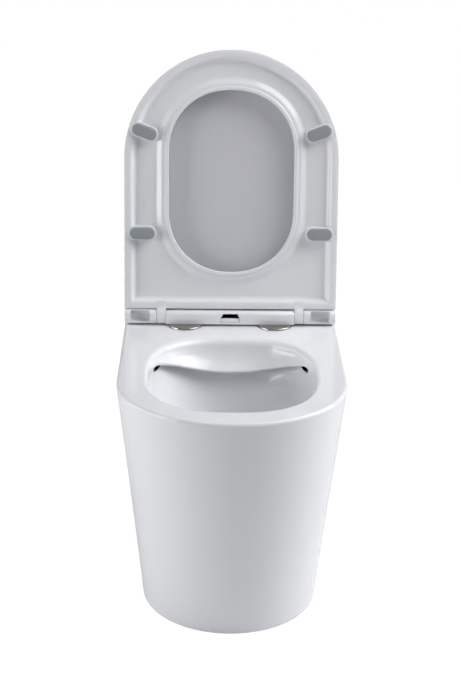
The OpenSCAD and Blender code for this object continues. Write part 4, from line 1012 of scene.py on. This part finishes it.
# %% [markdown]
# ## The seat's pads
# Four pads of grey rubber sit in the sockets and keep the closed seat off the rim. They are
# moulded with a round edge, which takes the light as a soft line. They are one piece with four
# islands, because the CAD node that they stand for holds all four.

# %% Seat pads
RIM_UNDER_HINGE, PAD_GAP, PAD_EDGE = -14, 0.25, 2.4
pads = None
for side in (1, -1):
    for at in pad_places:
        pad = oblong_block(PAD_L, PAD_W, RIM_UNDER_HINGE + PAD_GAP, PAD_SEAT - HELD,
                           mirrored(at, side), soft=PAD_EDGE)
        pads = join(pads, pad) if pads else pad
raise_piece(pads)
finished(pads, "seat_pads", "seat", buffer_rubber, "seat_buffers")

# %% [markdown]
# ## The cover
# The cover is a shallow D-shaped tray, crowned outside and hollow inside, whose two ears hold the
# ends of the hinge shafts. It is drawn closed like the seat. Its crown is a dome whose height
# falls off as a parabola, which a grid of rings gives better than flat faces would.

# %% Cover rings
COVER_RIM, COVER_TOP, COVER_CROWN, COVER_T, EAR_BACK = 11.2, 26, 2, 6, 10
COVER_IN = COVER_TOP - COVER_T


def cover_ring(inset, t):
    """The cover's D, drawn in by inset, at height t over the hinge."""
    return d_ring(SEAT_A - inset, SEAT_A - inset, -NOSE_AT, EAR_BACK - inset, t, corner=4)


DOME_SHARES = (0.12, 0.28, 0.45, 0.62, 0.78, 0.9, 0.97)


def dome(edge, pole, t_edge, t_pole):
    """Rings that close a D to its pole, with heights on a parabola between edge and pole."""
    made = straight(edge, pole, DOME_SHARES)
    for ring, s in zip(made, DOME_SHARES):
        ring[:, 2] = t_edge + (t_pole - t_edge) * (1 - (1 - s) ** 2)
    return made


INNER_EDGE = COVER_IN - 0.3
pole_in = np.array((0, -SEAT_TIP / 2, COVER_IN))
pole_out = np.array((0, -SEAT_TIP / 2, COVER_TOP + COVER_CROWN))
# The same for the cover: how far in from its outline, and how high, from inner to outer middle.
cover_rings = (
    dome(cover_ring(26, INNER_EDGE), pole_in, INNER_EDGE, COVER_IN)[::-1]
    + rounded(cover_ring(26, INNER_EDGE), cover_ring(12.5, COVER_IN - 0.4),
              cover_ring(11.6, COVER_RIM + 3), 8)
    + rounded(cover_ring(11, COVER_RIM + 1), cover_ring(10.8, COVER_RIM),
              cover_ring(9.8, COVER_RIM), 4)
    + rounded(cover_ring(1.4, COVER_RIM), cover_ring(0, COVER_RIM),
              cover_ring(0, COVER_RIM + 1.4), 4)
    + [cover_ring(0, COVER_TOP - 9)]
    + rounded(cover_ring(0, COVER_TOP - 7), cover_ring(0, COVER_TOP),
              cover_ring(14, COVER_TOP), 9)
    + dome(cover_ring(14, COVER_TOP), pole_out, COVER_TOP, COVER_TOP + COVER_CROWN)
)
cover = skin("cover_shell", cover_rings, pole_in, pole_out)
print("cover skin:", len(cover_rings), "rings,", round(volume(cover) * 1e6), "ml")

# %% [markdown]
# ## Ears, pockets and the cover's bosses
# Below the cover's skirt an ear on each side wraps the hinge. Each is hollowed by an open pocket,
# which keeps the wall thin while it cools in the mould, and the photograph shows both as grey
# hollows beside the hinge bar. Four bosses on the inner face carry the cover's pads.

# %% Ears, pockets and bosses
EAR_X = LUG_X + LUG_W + SIDE_GAP + 0.2
EAR_GAP, EAR_INSET, EAR_EDGE = 0.3, 0.8, 0.35
POCKET_X, POCKET_W, POCKET_EDGE = EAR_X + 12, 33, 2.4
POCKET_FRONT, POCKET_BACK, POCKET_TOP = -12, 8.2, 2
BUSH_LEFT_R = 4.6
BOSS_LOW, BOSS_R, PEG_R, PEG_HOLE = COVER_RIM + 1, 8, 3, 5
LUG_ROOM = (-30, 50)        # heights between which the cover leaves room for the bar and the lugs
ear_outline = np.concatenate([
    arc((0, 0), KNUCKLE_R, 0, -90, 18),
    arc((0, 0), SEAT_REAR - 0.5, -118, -172, 10),
    [(-SEAT_REAR + EAR_GAP, 0), (-SEAT_REAR + EAR_GAP, COVER_RIM + 5),
     (EAR_BACK - 1, COVER_RIM + 5), (EAR_BACK, COVER_RIM)]])
BOSS_REACH, UPPER_BOSS_TURN = SEAT_A - 22, math.radians(61)
cover_pads_at = [(BOSS_REACH - 12, HOLE_BACK + 13),
                 (BOSS_REACH * math.sin(UPPER_BOSS_TURN),
                  NOSE_AT + BOSS_REACH * math.cos(UPPER_BOSS_TURN))]


def block(low, high, soft=0.0):
    """A box from its lowest to its highest corner, with edges rounded by soft."""
    (x0, y0, z0), (x1, y1, z1) = low, high
    made = prism([(y0, z0), (y1, z0), (y1, z1), (y0, z1)], x0, x1, 0)
    return softened(made, soft, angle=50) if soft else made


def upright_rod(x, distance, low, high, radius, sides):
    """A rod of that radius over a place on the closed seat or cover, from low to high."""
    return rod((x, -distance, low), (x, -distance, high), radius, sides)


for side in (1, -1):
    ear = prism(ear_outline, *sorted((side * EAR_X, side * (SEAT_A - EAR_INSET))), 0)
    join(cover, softened(ear, EAR_EDGE, angle=60))
    for x, distance in cover_pads_at:
        join(cover, upright_rod(side * x, distance, BOSS_LOW, COVER_IN + OVER, BOSS_R, 40))
cut(cover, block((-EAR_X, -SEAT_REAR, LUG_ROOM[0]), (EAR_X, SEAT_REAR, LUG_ROOM[1])))
for side in (1, -1):
    x0, x1 = sorted((side * POCKET_X, side * (POCKET_X + POCKET_W)))
    cut(cover, block((x0, POCKET_FRONT, -KNUCKLE_R - 4), (x1, POCKET_BACK, POCKET_TOP),
                     POCKET_EDGE))
    for x, distance in cover_pads_at:
        cut(cover, upright_rod(side * x, distance, BOSS_LOW - OVER, BOSS_LOW + PEG_HOLE,
                               PEG_R + HELD, 32))
cut(cover, rod((-POCKET_X - OVER, 0, 0), (-EAR_X + OVER, 0, 0), BUSH_LEFT_R + HELD),
    flatted(EAR_X - OVER, POCKET_X + OVER, SHAFT_R + HELD, SHAFT_FLAT + HELD))
raise_piece(cover)
print("cover with ears and pockets:", round(volume(cover) * 1e6), "ml")

# %% [markdown]
# ## The cover's finish
# Through the seat's hole the photograph shows the cover's inner face as a soft blue grey, because
# seat and cover shade each other there. The lamps alone leave it too light, so a mask tones that
# face down. It reads heights and distances in the cover's own drawing, which are two sums of y and
# z.

# %% The cover's finish
SHADED_WHITE = (0.665, 0.67, 0.71)
SHADED_FROM, SHADED_HALF_W = 40, 160


def in_cover(finish):
    """1 on the cover's inner face, which lies behind the raised seat, else 0."""
    x, y, z = finish.parts(finish.place())
    y, z = y - HINGE_Y * MM, z - HINGE_Z * MM
    height = y * math.sin(RAISE) + z * math.cos(RAISE)
    distance = z * math.sin(RAISE) - y * math.cos(RAISE)
    return ((height < (COVER_IN + 1) * MM) * (height > (COVER_IN - 3) * MM)
            * (distance > SHADED_FROM * MM) * (abs(x) < SHADED_HALF_W * MM))


cover_plastic = glossy_white("cover_plastic", **SEAT_WHITE, dark=in_cover, shade=SHADED_WHITE)
finished(cover, "cover_shell", "cover", cover_plastic, "cover")

# %% [markdown]
# ## The cover's pads
# Four small round pads keep the cover off the seat. Each is a disc with a rounded lower edge,
# whose circles shrink as a quarter circle does, and a peg that holds it in its boss.

# %% Cover pads
COVER_PAD_R, COVER_PAD_EDGE = 7, 0.8
BOSS_GAP, PEG_L = 0.03, 4.6
edge_turn = np.radians(np.linspace(0, 90, 6))
pad_radii = COVER_PAD_R - COVER_PAD_EDGE * (1 - np.sin(edge_turn))
cover_pads = None
for side in (1, -1):
    for x, distance in cover_pads_at:
        low = (side * x, -distance, SEAT_TOP + PAD_GAP)
        high = (side * x, -distance, BOSS_LOW - BOSS_GAP)
        places = COVER_PAD_EDGE / (high[2] - low[2]) * (1 - np.cos(edge_turn))
        pad = skin("pad", circle_rings(low, high, np.append(pad_radii, COVER_PAD_R),
                                       np.append(places, 1), 40), low, high)
        join(pad, upright_rod(side * x, distance, BOSS_LOW - OVER, BOSS_LOW + PEG_L, PEG_R, 32))
        cover_pads = join(cover_pads, pad) if cover_pads else pad
raise_piece(cover_pads)
finished(cover_pads, "cover_pads", "cover", buffer_rubber, "cover_buffers")

# %% [markdown]
# ## Hinge caps
# Each fixing is hidden by a pressed metal cap. It is a turned shape, so it is a profile carried
# round a circle: a flat top, a rolled shoulder and a thin skirt, with a hole for the post behind
# the middle. The inner side is the same profile, smaller by the sheet's thickness.

# %% Hinge caps
CAP_R, CAP_T, CAP_TOP, CAP_LOW = 29.6, 0.8, 3.8, 0.1
CAP_ROLL, CAP_ROLL_H = 2.4, 2.0
POST_Y, POST_R, POST_GAP = 188.3, 4.5, 0.15
shoulder = np.radians(np.linspace(0, 90, 8))
outer = [(CAP_R, CAP_LOW)] + [(CAP_R - CAP_ROLL + CAP_ROLL * math.cos(t),
                               CAP_TOP - CAP_ROLL_H + CAP_ROLL_H * math.sin(t)) for t in shoulder]
inner = [(r - CAP_T, max(z - CAP_T, CAP_LOW)) for r, z in outer]
radii, heights = zip(*(inner[::-1] + outer))
for side, label in ((-1, "left"), (1, "right")):
    middle = np.array((side * FIXING_X, FIXING_Y, PAN_H))
    rings = circle_rings(middle, middle + (0, 0, 1), radii, heights, 96)
    cap = faced_out(skin("cap", rings, middle + (0, 0, CAP_TOP - CAP_T), middle + (0, 0, CAP_TOP)))
    post_at = (side * FIXING_X, -POST_Y)
    cut(cap, upright_rod(*post_at, PAN_H - OVER, PAN_H + 9, POST_R + POST_GAP, 40))
    finished(cap, f"hinge_cap_{label}_piece", "pan", chrome, f"hinge_cap_{label}",
             smooth=50)

# %% [markdown]
# ## Hinge bar and button
# The hinge bar and its button are already right in the CAD model, but for their edges: real
# mouldings have no sharp ones. A copy of each node's mesh is merged, because it comes as loose
# triangles, its flat faces are dissolved, and a Bevel modifier rounds the edges. The button sits in
# a black gap, which is shade in the hollow of the bar, so a mask paints that shade near black on
# the bar's plastic behind its front there.

# %% Hinge bar and button
WELD_M, FLAT_TURN, COPY_EDGE_TURN = 0.000002, 1.0, 35
# Where the painted shade lies in the hollow bar round the button, and how deep it fades in.
BAR_FRONT, DARK_DEPTH = 11.3, 2                     # before the axis, and how soon it is dark
DARK_R, DARK_HALF_W, DARK_TOP = 13, 60, 11.4


def soft_copy(node, width):
    """A copy of a CAD node with its points merged, its flat faces joined and its edges rounded."""
    piece = bpy.data.objects.new(node + "_piece", nodes[node].data.copy())
    bpy.context.scene.collection.objects.link(piece)
    piece.modifiers.new("weld", "WELD").merge_threshold = WELD_M
    flat = piece.modifiers.new("flat faces", "DECIMATE")
    flat.decimate_type, flat.angle_limit = "DISSOLVE", math.radians(FLAT_TURN)
    return softened(applied(piece), width, COPY_EDGE_TURN, 2)


def painted_button_gap_shade(finish):
    """Painted shade: 0 on the bar's front, growing to 1 within DARK_DEPTH behind it, only round the
    button.
    """
    x, y, z = finish.parts(finish.place())
    x, y, z = abs(x), y - HINGE_Y * MM, z - HINGE_Z * MM
    depth = finish.node("ShaderNodeClamp", {},
                        {"Value": (y + BAR_FRONT * MM) * (1 / (DARK_DEPTH * MM))})
    return (depth * (y * y + z * z < (DARK_R * MM) ** 2) * (x < DARK_HALF_W * MM)
            * (z < DARK_TOP * MM))


bar_plastic = glossy_white("bar_plastic", **SEAT_WHITE, dark=painted_button_gap_shade)
for node, body, width in (("hinge_bar", "pan", 0.35), ("release_button", "button", 0.25)):
    finished(soft_copy(node, width), node + "_piece", body, bar_plastic, node)

# %% [markdown]
# ## The other nodes
# What is left of the CAD model is small or hidden, and its shapes are right as they are: plates,
# bolts, nuts, dampers and brackets. Each keeps its mesh and gets the finish of its slot.

# %% Finishes of the CAD nodes
SLOT_FINISH = {"glaze": glazed_ceramic, "seat_plastic": seat_plastic,
               "inner_plastic": inner_plastic, "buffer_rubber": buffer_rubber,
               "seal_rubber": seal_rubber, "chrome": chrome, "steel": steel}
node_slot = {part["node"]: part["material_slot"] for part in frame["record"]["subparts"]}
for name, node in nodes.items():
    node.data.materials.clear()
    node.data.materials.append(SLOT_FINISH[node_slot[name]])
print("nodes dressed:", len(nodes), "slots known:", len(set(node_slot.values())))

# %% [markdown]
# ## Last: scene settings
# The colours are shown as they are, without a film look.

# %% Finish
bpy.context.scene.view_settings.view_transform = "Standard"
bpy.context.view_layer.update()
